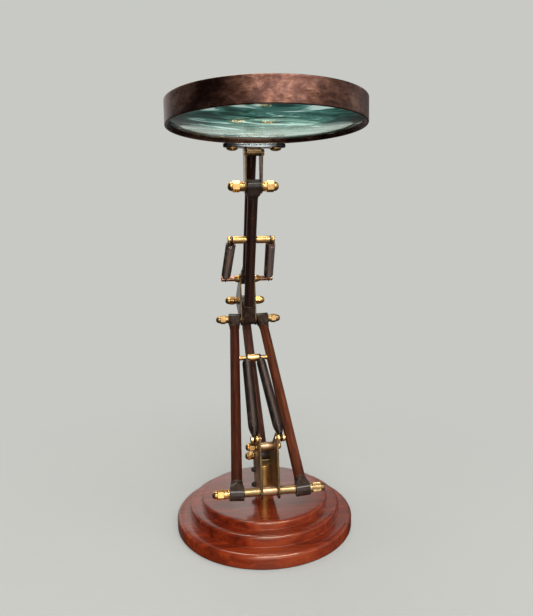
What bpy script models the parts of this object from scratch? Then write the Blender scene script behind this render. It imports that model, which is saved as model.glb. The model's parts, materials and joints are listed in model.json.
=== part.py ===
"""Articulated desk magnifier: a large framed lens on a spring-balanced, twin-parallelogram arm,
turning on a brass post in a stepped round wooden plinth.

Frame: metres, +Z up, origin at the centre of the plinth's underside, on the swivel axis.
All pivots run along X; the arm bends in the YZ plane; -Y is the side the lens reaches towards.
Left is -X and right is +X. Lengths below are in millimetres and become metres in each mesh.
"""
import math

import bmesh
import bpy
from mathutils import Matrix, Vector

MM = 0.001
SIDES = (("left", -1), ("right", 1))

# ---- driving dimensions (mm) ---------------------------------------------------------
PLINTH_RADII = (110.0, 93.5, 78.8)  # lower, middle and top step
PLINTH_LEVELS = (16.8, 29.8, 38.6)  # tops of the same steps
PLINTH_TOP = PLINTH_LEVELS[-1]
PLATE_IN, PLATE_OUT = 9.3, 11.3     # inner and outer face of every brass side plate
GAP = 0.3                           # end clearance beside a plate
STEP = 0.01                         # length over which a turned part changes radius abruptly
SEAT_X = PLATE_OUT + GAP            # where nuts and heads sit outside the plates
SPACER_X = PLATE_IN - GAP           # half width of what fills the space between plates
EYE_HALF = 8.9                      # half width of a ferrule that runs between two plates
LEG_EYE_HALF = 8.5                  # half width of a leg's ferrules
RUN = 0.2                           # radial running clearance of every bore
AXLE_R = 4.0                        # main axles
PIN_R = 3.0                         # smaller bolts and the tilt pin
SPOOL_PIN_R = 2.4                   # shanks of the spring spools
LEG_PIN_R = 3.2                     # spring pin between the legs
SPRING_AXLE_R = 4.2                 # upper spring axle, inside the elbow
LEG_R, LINK_R, ARM_R = 6.6, 6.8, 6.8
SEG = 12                            # facets of a small round part

# ---- pivots in the YZ plane (mm) -----------------------------------------------------
FOOT_AXLE = Vector((0, -49.1, 62.5))       # foot axle of the two legs
LINK_FOOT = Vector((0, 11.4, 82.6))        # foot pivot of the lower link
STAY = Vector((0, -22.2, 107.5))           # stay bolt of the cheeks
SPOOL = Vector((0, -39.7, 123.6))          # spools of the lower springs
CHEEK_CORNER = Vector((0, 1.0, 54.0))      # lower corner of the cheeks, beside the barrel
ELBOW = Vector((0, 142.2, 238.8))          # elbow axle
LINK_TOP = ELBOW + (LINK_FOOT - FOOT_AXLE)
HEAD = Vector((0, 59.8, 423.9))            # head axle
UPPER_SHORT_SIDE = Vector((0, 7.5, 58.8))  # short side of the upper parallelogram
UPPER_LINK_FOOT = ELBOW + UPPER_SHORT_SIDE  # also the upper spring axle
UPPER_LINK_TOP = HEAD + UPPER_SHORT_SIDE
TILT = Vector((0, 47.5, 464.9))            # tilt pin of the lens block
LEG_PIN = FOOT_AXLE.lerp(ELBOW, 0.735)     # spring pin, at its share of the leg
ARM_BAR = ELBOW.lerp(HEAD, 0.630)          # spring bar, at its share of the upper arm
RIM = Vector((0, -60.6, 474.7))            # centre of the frame's lower rim, before tilting
LENS_TILT = math.radians(-1.36)            # about the tilt pin; lifts the frame's -Y side

LEG_FOOT_X, LEG_TOP_X = 39.3, 20.2         # leg centres at the foot axle and at the elbow
LEG_NUT_GAP = 0.4                          # from a leg's ferrule to the nut outside it
FOOT_NUT_X = LEG_FOOT_X + LEG_EYE_HALF + LEG_NUT_GAP
ELBOW_NUT_X = LEG_TOP_X + LEG_EYE_HALF + LEG_NUT_GAP

for old in list(bpy.data.objects):
    bpy.data.objects.remove(old, do_unlink=True)


# ---- materials -----------------------------------------------------------------------
def material(name, colour, rough, metal, alpha=1.0):
    mat = bpy.data.materials.new(name)
    mat.use_nodes = True
    shader = mat.node_tree.nodes["Principled BSDF"]
    shader.inputs["Base Color"].default_value = (*colour, 1)
    shader.inputs["Roughness"].default_value = rough
    shader.inputs["Metallic"].default_value = metal
    shader.inputs["Alpha"].default_value = alpha
    mat.diffuse_color = (*colour, alpha)
    return mat


BRASS = material("brass", colour=(0.72, 0.47, 0.16), rough=0.25, metal=1)
BUSH = material("bronze_bush", colour=(0.52, 0.33, 0.22), rough=0.35, metal=1)
BLACK = material("blackened_steel", colour=(0.025, 0.022, 0.022), rough=0.35, metal=0.6)
ROSEWOOD = material("dark_rosewood", colour=(0.09, 0.028, 0.016), rough=0.25, metal=0)
HARDWOOD = material("red_hardwood", colour=(0.36, 0.09, 0.035), rough=0.15, metal=0)
COPPER = material("aged_copper", colour=(0.20, 0.10, 0.075), rough=0.22, metal=1)
GLASS = material("glass", colour=(0.75, 0.92, 0.88), rough=0.02, metal=0, alpha=0.35)
SPRING = material("black_spring", colour=(0.04, 0.035, 0.033), rough=0.4, metal=0.7)

# ---- bodies: one empty on each joint's axis ------------------------------------------
BODIES = {}  # name: (empty, its place in mm)
for body_name, pivot, parent_name in (
    ("base", Vector(), None),
    ("swivel", Vector((0, 0, PLINTH_TOP)), "base"),
    ("lower_arm", FOOT_AXLE, "swivel"),
    ("lower_link", LINK_FOOT, "swivel"),
    ("lower_springs", SPOOL, "swivel"),
    ("elbow", ELBOW, "lower_arm"),
    ("upper_arm", ELBOW, "elbow"),
    ("upper_link", UPPER_LINK_FOOT, "elbow"),
    ("upper_springs", UPPER_LINK_FOOT, "elbow"),
    ("head", HEAD, "upper_arm"),
    ("lens", TILT, "head"),
):
    empty = bpy.data.objects.new("pivot_" + body_name, None)
    bpy.context.scene.collection.objects.link(empty)
    parent, parent_at = BODIES[parent_name] if parent_name else (None, Vector())
    empty.location = (pivot - parent_at) * MM
    empty.parent = parent
    BODIES[body_name] = (empty, pivot)


def add(name, bm, body, mat=None, smooth=35):
    """Turn a mesh in mm into an object with its origin on its body's joint axis.

    Without a material it becomes a hidden tool for a boolean.
    """
    pivot_empty, at = BODIES[body]
    bmesh.ops.recalc_face_normals(bm, faces=bm.faces)
    turn = Matrix.Rotation(LENS_TILT, 4, "X") if body == "lens" else Matrix()
    to_body = Matrix.Scale(MM, 4) @ turn @ Matrix.Translation(-at)
    bmesh.ops.transform(bm, matrix=to_body, verts=bm.verts)
    mesh = bpy.data.meshes.new(name)
    bm.to_mesh(mesh)
    bm.free()
    obj = bpy.data.objects.new(name, mesh)
    bpy.context.scene.collection.objects.link(obj)
    obj.parent = pivot_empty
    if mat is None:
        obj.hide_render = True
        obj.display_type = "WIRE"
    else:
        mesh.materials.append(mat)
        mesh.shade_smooth()
        mesh.set_sharp_from_angle(angle=math.radians(smooth))
    return obj


def boolean(obj, operation, bm):
    body = obj.parent.name.removeprefix("pivot_")
    tool = add(f"{obj.name}_tool_{len(obj.modifiers)}", bm, body)
    modifier = obj.modifiers.new(operation.lower(), "BOOLEAN")
    modifier.operation = operation
    modifier.solver = "EXACT"
    modifier.object = tool


def join(obj, bm):
    boolean(obj, "UNION", bm)


def cut(obj, bm):
    boolean(obj, "DIFFERENCE", bm)


# ---- shapes --------------------------------------------------------------------------
def at_x(point, x):
    return Vector((x, point.y, point.z))


def frame_of(direction, hint=Vector((1, 0, 0))):
    """A matrix whose Z runs along direction and whose X stays near hint."""
    z = direction.normalized()
    x = (hint - z * hint.dot(z)).normalized()
    return Matrix((x, z.cross(x), z)).transposed()


def loft(rings):
    """A solid through rings of equally many points; its two ends are filled flat."""
    bm = bmesh.new()
    made = [[bm.verts.new(p) for p in ring] for ring in rings]
    n = len(made[0])
    for a, b in zip(made, made[1:]):
        for i in range(n):
            bm.faces.new((a[i], a[(i + 1) % n], b[(i + 1) % n], b[i]))
    bm.faces.new(made[0])
    bm.faces.new(list(reversed(made[-1])))
    return bm


def cyl(r, start, end, n=SEG):
    """A cylinder between two points."""
    along = end - start
    across = Vector((0, 0, 1)) if abs(along.normalized().x) > 0.9 else Vector((1, 0, 0))
    frame = frame_of(along, across)
    angles = [2 * math.pi * i / n for i in range(n)]
    circle = [frame @ Vector((r * math.cos(t), r * math.sin(t), 0)) for t in angles]
    return loft([[end_at + p for p in circle] for end_at in (start, end)])


def cyl_x(r, x0, x1, at, n=SEG):
    return cyl(r, at_x(at, x0), at_x(at, x1), n)


def box(x0, x1, y0, y1, z0, z1):
    corners = ((x0, y0), (x1, y0), (x1, y1), (x0, y1))
    return loft([[Vector((x, y, z)) for x, y in corners] for z in (z0, z1)])


def lathe(profile, at, axis="X", n=SEG):
    """A closed profile of (place along the axis, radius), spun about X or Z through at.

    An edge on the axis makes no face.
    """
    bm = bmesh.new()
    if axis == "X":
        spin = Vector((1, 0, 0))
        points = [Vector((a, at.y, at.z + r)) for a, r in profile]
    else:
        spin = Vector((0, 0, 1))
        points = [Vector((at.x + r, at.y, a)) for a, r in profile]
    verts = [bm.verts.new(p) for p in points]
    edges = [bm.edges.new((verts[i - 1], verts[i])) for i in range(len(verts))
             if profile[i][1] > 0 or profile[i - 1][1] > 0]
    bmesh.ops.spin(bm, geom=verts + edges, cent=at, axis=spin, angle=2 * math.pi, steps=n,
                   use_merge=True, use_duplicate=False)
    bmesh.ops.remove_doubles(bm, verts=bm.verts, dist=0.001)
    return bm


def mirrored(half):
    """A profile symmetric about x = 0, from its +X half listed from the tip inwards."""
    return [(-x, r) for x, r in half] + half[::-1]


def tube_x(outer, inner, x0, x1, at):
    return lathe([(x0, inner), (x0, outer), (x1, outer), (x1, inner)], at)


def extrude(points, by):
    """A flat face through points, made solid along the vector by."""
    bm = bmesh.new()
    face = bm.faces.new([bm.verts.new(p) for p in points])
    moved = bmesh.ops.extrude_face_region(bm, geom=[face])["geom"]
    verts = [g for g in moved if isinstance(g, bmesh.types.BMVert)]
    bmesh.ops.translate(bm, verts=verts, vec=by)
    return bm


def tangent_hull(circles, n=16):
    """Convex outline, as (y, z) points, round circles of (centre, radius)."""
    points = set()
    for centre, r in circles:
        for i in range(n):
            t = 2 * math.pi * i / n
            points.add((round(centre.y + r * math.cos(t), 5),
                        round(centre.z + r * math.sin(t), 5)))
    points = sorted(points)

    def half(ordered):
        chain = []
        for y, z in ordered:
            while len(chain) > 1:
                (y0, z0), (y1, z1) = chain[-2:]
                if (y1 - y0) * (z - z0) - (z1 - z0) * (y - y0) > 1e-6:
                    break
                chain.pop()
            chain.append((y, z))
        return chain[:-1]

    return half(points) + half(points[::-1])


def plate(name, body, side, hulls, holes):
    """A flat side plate: the union of convex outlines, with holes of (centre, radius)."""
    x0, x1 = (PLATE_IN, PLATE_OUT) if side > 0 else (-PLATE_OUT, -PLATE_IN)
    slabs = [extrude([(x0, y, z) for y, z in tangent_hull(hull)], (x1 - x0, 0, 0))
             for hull in hulls]
    obj = add(name, slabs[0], body, BRASS)
    for slab in slabs[1:]:
        join(obj, slab)
    for at, r in holes:
        cut(obj, cyl_x(r, x0 - 3, x1 + 3, at))


def ring_x(x, at, radius, flats=None, n=SEG):
    """Points round a circle about X, or round a hexagon cut back to that circle."""
    out = []
    for i in range(n):
        t = 2 * math.pi * i / n
        r = radius
        if flats:
            off_flat = (t + math.pi / 6) % (math.pi / 3) - math.pi / 6
            r = min(flats / 2 / math.cos(off_flat), radius)
        out.append(Vector((x, at.y + r * math.cos(t), at.z + r * math.sin(t))))
    return out


def turned(stations, at, n=SEG):
    """A round solid about X through stations of (x, radius)."""
    return loft([ring_x(x, at, r, n=n) for x, r in stations])


# ---- nuts and bolts ------------------------------------------------------------------
# Flanged acorn: round base, hexagon (width across flats), then dome.
ACORN = dict(base_r=5.9, base_len=6.0, flats=12.4, hex_len=7.6, dome_len=5.4)


def acorn_rings(x, way, at, base_r, base_len, flats, hex_len, dome_len):
    """Rings of an acorn that starts at x and points along way (+1 or -1)."""
    corner = flats / 2 / math.cos(math.pi / 6)
    hex_x = x + way * base_len
    dome_x = hex_x + way * hex_len
    rings = [
        ring_x(x, at, base_r),
        ring_x(hex_x, at, base_r),
        ring_x(hex_x + way * STEP, at, corner, flats),
        ring_x(dome_x - way * 0.7, at, corner, flats),
        ring_x(dome_x, at, corner * 0.9, flats),
    ]
    dome_r = flats / 2 * 0.94
    for k in (0.5, 0.85):
        r = dome_r * math.sqrt(1 - k * k) + 0.15
        rings.append(ring_x(dome_x + way * dome_len * k, at, r))
    return rings


def acorn_nut(name, body, x, way, at, axle_r, **changes):
    size = ACORN | changes
    nut = add(name, loft(acorn_rings(x, way, at, **size)), body, BRASS)
    bore_end = x + way * (size["base_len"] + size["hex_len"] - 1.0)
    cut(nut, cyl_x(axle_r + RUN, x - way * 2, bore_end, at))


def acorn_bolt(name, body, x_head, way, x_end, at, axle_r, **changes):
    """An axle with a fixed acorn head that points along way; the shank runs back to x_end."""
    shank = [
        ring_x(x_end, at, axle_r - 0.6),
        ring_x(x_end + way * 0.7, at, axle_r),
        ring_x(x_head - way * STEP, at, axle_r),
    ]
    head = acorn_rings(x_head, way, at, **(ACORN | changes))
    add(name, loft(shank + head), body, BRASS)


def cheek_bolt(name, at, shoulder_r, end, longer=0.0):
    """Round-headed bolt: head on +X, shank to end on -X, perhaps thicker between the cheeks."""
    stations = [(end, 2.4), (end + 0.5, PIN_R), (-SPACER_X, PIN_R)]
    if shoulder_r > PIN_R:
        stations += [(-SPACER_X + STEP, shoulder_r), (SPACER_X - STEP, shoulder_r),
                     (SPACER_X, PIN_R)]
    stations += [
        (SEAT_X, PIN_R), (SEAT_X + STEP, 4.6), (PLATE_OUT + 1.6, 4.6),
        (PLATE_OUT + 1.6 + STEP, 4.0), (PLATE_OUT + 3.6 + longer, 4.1),
        (PLATE_OUT + 6.0 + longer, 3.3), (PLATE_OUT + 7.3 + longer, 1.6),
    ]
    add(name, turned(stations, at), "swivel", BRASS)


# ---- rods and ferrules ---------------------------------------------------------------
def ferrule(name, body, at, direction, half, rod_r, eye_r, length, axle_r):
    """An eye across the axle, blended into a round socket that takes the end of a rod."""
    obj = add(name, cyl_x(eye_r, at.x - half, at.x + half, at, 16), body, BLACK)
    frame = frame_of(direction)
    tip = rod_r + 1.1
    rings = []
    # (distance from the axle, blend from squarish eye 0 to round socket 1)
    for s, k in ((0.0, 0.0), (eye_r * 0.75, 0.12), (length * 0.8, 0.86), (length, 1.0)):
        width = half * 0.97 * (1 - k) + tip * k
        height = eye_r * 0.97 * (1 - k) + tip * k
        power = 2 / (5.0 * (1 - k) + 2.0 * k)  # superellipse section
        ring = []
        for i in range(12):
            t = 2 * math.pi * i / 12
            c, sn = math.cos(t), math.sin(t)
            x = width * math.copysign(abs(c) ** power, c)
            y = height * math.copysign(abs(sn) ** power, sn)
            ring.append(at + frame @ Vector((x, y, s)))
        rings.append(ring)
    join(obj, loft(rings))
    along = direction.normalized()
    cut(obj, cyl_x(axle_r + RUN, at.x - half - 4, at.x + half + 4, at))
    cut(obj, cyl(rod_r + RUN, at + along * (axle_r + 4.2), at + along * (length + 4)))


def rod(name, body, foot, top, r, inset):
    """A wooden rod that stops short of both pivots by inset."""
    along = (top - foot).normalized()
    return add(name, cyl(r, foot + along * inset, top - along * inset), body, ROSEWOOD)


def link(body, foot, top, r, inset, foot_end, top_end):
    """A rod and its two ferrules; an end is (eye radius, socket length, axle radius)."""
    obj = rod(body + "_rod", body, foot, top, r, inset)
    ferrule(body + "_foot", body, foot, top - foot, EYE_HALF, r, *foot_end)
    ferrule(body + "_top", body, top, foot - top, EYE_HALF, r, *top_end)
    return obj


# ---- springs -------------------------------------------------------------------------
def eye_ring(at, major, minor, n=12, m=4):
    """A wire ring round an X axle."""
    bm = bmesh.new()
    grid = []
    for i in range(n):
        t = 2 * math.pi * i / n
        section = []
        for j in range(m):
            s = 2 * math.pi * j / m
            r = major + minor * math.cos(s)
            section.append(bm.verts.new((at.x + minor * math.sin(s),
                                         at.y + r * math.cos(t), at.z + r * math.sin(t))))
        grid.append(section)
    for i in range(n):
        a, b = grid[i], grid[(i + 1) % n]
        for j in range(m):
            bm.faces.new((a[j], b[j], b[(j + 1) % m], a[(j + 1) % m]))
    return bm


def spring(name, body, low, high, r, wire, low_eye, high_eye, taper):
    """An extension spring: plain coil body, drawn-in ends, and a wire eye round each pin."""
    along = (high - low).normalized()
    frame = frame_of(along)
    start = low_eye + 1.6
    end = (high - low).length - high_eye - 1.6
    stations = (  # (distance from the low pin, share of the radius)
        (start, 0.34), (start + taper * 0.45, 0.72), (start + taper, 1.0),
        (end - taper * 0.7, 1.0), (end - taper * 0.25, 0.8), (end, 0.4),
    )
    angles = [2 * math.pi * i / 8 for i in range(8)]
    rings = [[low + frame @ Vector((r * k * math.cos(t), r * k * math.sin(t), s))
              for t in angles] for s, k in stations]
    obj = add(name, loft(rings), body, SPRING)
    for at, eye, way in ((low, low_eye, 1), (high, high_eye, -1)):
        stem = [at + along * way * reach for reach in (eye - 0.2, eye + 4.5)]
        join(obj, cyl(wire, *stem, 5))
        join(obj, eye_ring(at, eye, wire))


def build_springs():
    for side, sx in SIDES:
        spring("lower_spring_" + side, "lower_springs", at_x(SPOOL, sx * 15.8),
               at_x(LEG_PIN, sx * 9.5), r=6.5, wire=0.95, low_eye=3.9, high_eye=4.5, taper=15.0)
        spring("upper_spring_" + side, "upper_springs", at_x(UPPER_LINK_FOOT, sx * 31.5),
               at_x(ARM_BAR, sx * 26.7), r=6.9, wire=0.9, low_eye=4.3, high_eye=5.2, taper=3.6)


# ---- base ----------------------------------------------------------------------------
def shoulder(r, top, round_r):
    """Profile points over the rounded upper edge of a plinth step."""
    angles = [math.pi / 2 * i / 2 for i in range(3)]
    return [(top - round_r + round_r * math.sin(t), r - round_r + round_r * math.cos(t))
            for t in angles]


def build_base():
    low_r, mid_r, top_r = PLINTH_RADII
    low_z, mid_z, top_z = PLINTH_LEVELS
    bore_r, bore_floor = 5.6, 6.0
    outline = [
        (0, 0), (0, low_r - 2.0), (2.0, low_r), *shoulder(low_r, low_z, 4.0),
        (low_z, mid_r), *shoulder(mid_r, mid_z, 2.2),
        (mid_z, top_r), *shoulder(top_r, top_z, 1.8),
        (top_z, bore_r), (bore_floor, bore_r), (bore_floor, 0),
    ]
    add("plinth", lathe(outline, Vector(), "Z", 40), "base", HARDWOOD)
    # Stud in the plinth, a collar on its top, and a journal for the barrel.
    spindle = [
        (6.3, 0), (6.3, 5.2), (top_z + 0.4, 5.2), (top_z + 0.4, 7.2), (top_z + 1.6, 7.2),
        (top_z + 1.6, 5.0), (70.5, 5.0), (71.5, 4.2), (71.5, 0),
    ]
    add("pivot_spindle", lathe(spindle, Vector(), "Z"), "base", BRASS)


# ---- swivel --------------------------------------------------------------------------
CHEEK_SCREWS = (  # (name, centre), one above the other in the barrel's left wall
    ("cheek_screw_lower", Vector((0, -3.0, 50.4))),
    ("cheek_screw_upper", Vector((0, -3.0, 70.2))),
)
CHEEK_SCREW_HOLE_R = 1.7


def build_barrel_and_cheeks():
    z0, z1 = PLINTH_TOP + 2.0, 75.8
    outline = [(z0, 5.2), (z0, 8.7), (z1 - 0.8, 8.7), (z1, 7.9), (z1, 0), (72.2, 0), (72.2, 5.2)]
    barrel = add("swivel_barrel", lathe(outline, Vector(), "Z", 16), "swivel", BRASS)
    join(barrel, box(-8.85, 8.85, 6.0, 15.0, 65.0, 75.5))  # boss between the cheeks

    shank_r = 1.5
    screw_outline = [
        (-5.4, 0), (-5.4, shank_r), (-SEAT_X, shank_r), (-SEAT_X, 3.3),
        (-14.6, 3.1), (-16.2, 2.0), (-16.2, 0),
    ]
    for name, at in CHEEK_SCREWS:
        cut(barrel, cyl_x(CHEEK_SCREW_HOLE_R, -12.0, -4.2, at))
        screw = add(name, lathe(screw_outline, at, n=16), "swivel", BLACK)
        cut(screw, cyl_x(1.2, -18.0, -14.6, at, 6))  # hexagon socket

    hulls = [
        [(FOOT_AXLE, 9.4), (SPOOL, 6.6), (STAY, 7.4), (CHEEK_CORNER, 8.2)],
        [(STAY, 7.4), (LINK_FOOT, 7.8), (CHEEK_CORNER, 8.2)],
    ]
    holes = [(FOOT_AXLE, AXLE_R + RUN), (LINK_FOOT, PIN_R + RUN), (STAY, PIN_R + RUN),
             (SPOOL, SPOOL_PIN_R + RUN)]
    screw_holes = [(at, CHEEK_SCREW_HOLE_R) for _, at in CHEEK_SCREWS]
    plate("cheek_left", "swivel", -1, hulls, holes + screw_holes)
    plate("cheek_right", "swivel", 1, hulls, holes)


def build_base_axle():
    acorn_bolt("base_axle", "swivel", -FOOT_NUT_X, -1, 62.6, FOOT_AXLE, AXLE_R,
               base_r=5.3, flats=10.6, base_len=6.2, hex_len=7.8, dome_len=6.0)
    knob = [(FOOT_NUT_X, 5.3), (49.2, 5.9), (61.8, 5.9), (62.8, 5.0), (66.2, 4.0)]
    nut = add("base_axle_thumb_nut", turned(knob, FOOT_AXLE, 16), "swivel", BRASS)
    cut(nut, cyl_x(AXLE_R + RUN, 46, 63.0, FOOT_AXLE))

    bore = AXLE_R + RUN
    leg_in = LEG_FOOT_X - LEG_EYE_HALF - GAP
    for name, r, x0, x1, mat in (
        ("left", 5.2, -leg_in, -SEAT_X, BRASS),
        ("right", 5.2, SEAT_X, leg_in, BRASS),
        ("centre", 5.7, -SPACER_X, SPACER_X, BUSH),
    ):
        add("base_spacer_" + name, tube_x(r, bore, x0, x1, FOOT_AXLE), "swivel", mat)


def build_cheek_fittings():
    cheek_bolt("stay_bolt", STAY, shoulder_r=4.5, end=-21.2)
    cheek_bolt("link_bolt", LINK_FOOT, shoulder_r=PIN_R, end=-18.4, longer=3.0)
    for name, at, hex_len in (("stay_bolt_nut", STAY, 8.4), ("link_bolt_nut", LINK_FOOT, 5.6)):
        acorn_nut(name, "swivel", -SEAT_X, -1, at, PIN_R,
                  base_r=4.9, base_len=2.6, flats=9.4, hex_len=hex_len, dome_len=2.6)
    outline = [
        (8.2, 0), (8.2, SPOOL_PIN_R), (SEAT_X, SPOOL_PIN_R), (SEAT_X, 4.3), (14.1, 4.3),
        (14.5, 2.7), (17.1, 2.7), (17.5, 4.2), (20.0, 4.2), (20.8, 3.0), (20.8, 0),
    ]
    for side, sx in SIDES:
        spool = lathe([(sx * x, r) for x, r in outline], SPOOL, n=16)
        add("spring_spool_" + side, spool, "swivel", BRASS)


# ---- lower arm: two splayed legs and a link ------------------------------------------
def build_lower_arm():
    for side, sx in SIDES:
        foot, top = at_x(FOOT_AXLE, sx * LEG_FOOT_X), at_x(ELBOW, sx * LEG_TOP_X)
        leg = rod("leg_" + side, "lower_arm", foot, top, LEG_R, 8.6)
        cut(leg, cyl_x(LEG_PIN_R + RUN, sx * 14, sx * 24.6, LEG_PIN))
        for end, at, direction, eye_r, length in (
            ("foot", foot, top - foot, 8.6, 13.8),
            ("top", top, foot - top, 8.2, 16.0),
        ):
            ferrule(f"leg_{end}_{side}", "lower_arm", at, direction, LEG_EYE_HALF, LEG_R,
                    eye_r, length, AXLE_R)
    pin = [(24.2, 0), (24.2, LEG_PIN_R), (11.3, LEG_PIN_R), (11.0, LEG_PIN_R),
           (7.5, LEG_PIN_R), (7.4, 5.3)]
    add("lower_spring_pin", lathe(mirrored(pin), LEG_PIN), "lower_arm", BRASS)
    link("lower_link", LINK_FOOT, LINK_TOP, LINK_R, 7.6,
         foot_end=(6.0, 13.0, PIN_R), top_end=(7.6, 17.0, PIN_R))


# ---- elbow ---------------------------------------------------------------------------
def build_elbow():
    for side, sx in SIDES:
        plate("elbow_plate_" + side, "elbow", sx,
              [[(ELBOW, 9.2), (LINK_TOP, 7.6), (UPPER_LINK_FOOT, 7.2)]],
              [(ELBOW, AXLE_R + RUN), (LINK_TOP, PIN_R + RUN),
               (UPPER_LINK_FOOT, SPRING_AXLE_R + RUN)])
    size = dict(base_r=5.6, flats=11.2, dome_len=4.6)
    acorn_bolt("elbow_axle", "elbow", -ELBOW_NUT_X, -1, 41.2, ELBOW, AXLE_R, **size)
    acorn_nut("elbow_axle_nut", "elbow", ELBOW_NUT_X, 1, ELBOW, AXLE_R, **size)
    size = dict(base_r=5.7, base_len=4.0)
    acorn_bolt("elbow_link_bolt", "elbow", -SEAT_X, -1, 21.8, LINK_TOP, PIN_R, **size)
    acorn_nut("elbow_link_nut", "elbow", SEAT_X, 1, LINK_TOP, PIN_R, hex_len=12.0, **size)
    axle = [
        (37.8, 0), (37.8, 2.8), (37.0, 3.6), (33.2, 3.6), (32.9, 2.9), (30.1, 2.9),
        (29.8, 3.6), (18.4, 3.6), (SEAT_X, 5.6), (SEAT_X - STEP, SPRING_AXLE_R),
    ]
    add("upper_spring_axle", lathe(mirrored(axle), UPPER_LINK_FOOT), "elbow", BRASS)


# ---- upper arm and its link ----------------------------------------------------------
def build_upper_arm():
    bar_r = 3.0  # where the spring bar passes through the rod
    arm = link("upper_arm", ELBOW, HEAD, ARM_R, 8.6,
               foot_end=(8.2, 24.0, AXLE_R), top_end=(9.0, 15.5, AXLE_R))
    cut(arm, cyl_x(bar_r + RUN, -12, 12, ARM_BAR))
    bar = [
        (31.8, 0), (31.8, 4.4), (31.0, 5.1), (28.4, 5.1), (28.1, 4.0), (25.3, 4.0),
        (25.0, 5.1), (ARM_R + GAP, 5.1), (ARM_R + GAP - STEP, bar_r),
    ]
    add("upper_spring_bar", lathe(mirrored(bar), ARM_BAR), "upper_arm", BRASS)
    link("upper_link", UPPER_LINK_FOOT, UPPER_LINK_TOP, ARM_R, 8.8,
         foot_end=(8.0, 18.0, SPRING_AXLE_R), top_end=(7.6, 20.0, AXLE_R))


# ---- head ----------------------------------------------------------------------------
def build_head():
    for side, sx in SIDES:
        plate("head_plate_" + side, "head", sx,
              [[(HEAD, 9.2), (UPPER_LINK_TOP, 7.0)], [(HEAD, 8.0), (TILT, 4.4)]],
              [(HEAD, AXLE_R + RUN), (UPPER_LINK_TOP, AXLE_R + RUN), (TILT, PIN_R + RUN)])
    size = dict(flats=13.0, base_r=6.1, hex_len=9.0, dome_len=6.6)
    acorn_bolt("head_axle", "head", -SEAT_X, -1, 24.0, HEAD, AXLE_R, **size)
    acorn_nut("head_axle_nut", "head", SEAT_X, 1, HEAD, AXLE_R, **size)
    size = dict(base_len=4.0)
    acorn_bolt("head_link_bolt", "head", -SEAT_X, -1, 21.8, UPPER_LINK_TOP, AXLE_R, **size)
    acorn_nut("head_link_nut", "head", SEAT_X, 1, UPPER_LINK_TOP, AXLE_R, **size)
    pin = [(13.1, 0), (13.1, 3.0), (12.5, 4.0), (SEAT_X, 4.0), (SEAT_X - STEP, PIN_R)]
    add("tilt_pin", lathe(mirrored(pin), TILT), "head", BRASS)


# ---- lens assembly -------------------------------------------------------------------
RING_R = 107.3                  # outside of the frame
RING_IN = RING_R - 2.2          # inside of its wall
RING_Z0 = RIM.z
RING_Z1 = RING_Z0 + 25.5
LEDGE_Z = RING_Z0 + 3.4         # underside of the ledge below the glass
GLASS_Z0 = LEDGE_Z + 1.9        # lower and upper level of the glass's edge
GLASS_Z1 = GLASS_Z0 + 4.0
SADDLE_Z0, SADDLE_Z1 = RING_Z0 - 4.8, RING_Z0 - 0.4
BOSS_X, BOSS_Y = 27.4, RIM.y + 106.8


def build_lens_ring():
    band = [
        (RING_Z0, RING_IN - 0.2), (RING_Z0, RING_R - 0.6), (RING_Z0 + 0.8, RING_R),
        (RING_Z1 - 0.8, RING_R), (RING_Z1, RING_R - 0.6), (RING_Z1, RING_IN),
        (LEDGE_Z + 1.6, RING_IN), (LEDGE_Z + 1.6, RING_IN - 2.2),
        (LEDGE_Z, RING_IN - 2.2), (LEDGE_Z - 0.6, RING_IN - 0.2),
    ]
    ring = add("lens_ring", lathe(band, RIM, "Z", 48), "lens", COPPER)
    for _, sx in SIDES:  # screw bosses on the +Y side
        x = sx * BOSS_X
        for action, r, z0, z1 in ((join, 5.2, 0.6, 13), (cut, 2.4, -1, 9)):
            action(ring, cyl(r, Vector((x, BOSS_Y, RING_Z0 + z0)),
                             Vector((x, BOSS_Y, RING_Z0 + z1))))


def cap_profile(r, sag, level, way, steps=3):
    """Profile of a spherical cap of that sagitta, from its edge to the axis."""
    sphere_r = (r * r + sag * sag) / (2 * sag)
    out = []
    for i in range(steps + 1):
        x = r * (1 - i / steps)
        rise = math.sqrt(sphere_r * sphere_r - x * x) - (sphere_r - sag)
        out.append((level + way * rise, x))
    return out


def build_glass():
    r, sag = RING_IN - 0.4, 7.5
    lower = cap_profile(r, sag, GLASS_Z0, -1)
    upper = cap_profile(r, sag, GLASS_Z1, 1)
    glass = lathe(lower[::-1] + upper, RIM, "Z", 40)
    add("lens_glass", glass, "lens", GLASS, smooth=60)
    z = GLASS_Z1 + 0.5
    outline = [(z, RING_IN - 2.6), (z, RING_IN - 0.3), (z + 2.6, RING_IN - 0.3),
               (z + 2.6, RING_IN - 2.2)]
    add("lens_retaining_ring", lathe(outline, RIM, "Z", 40), "lens", COPPER)


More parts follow.
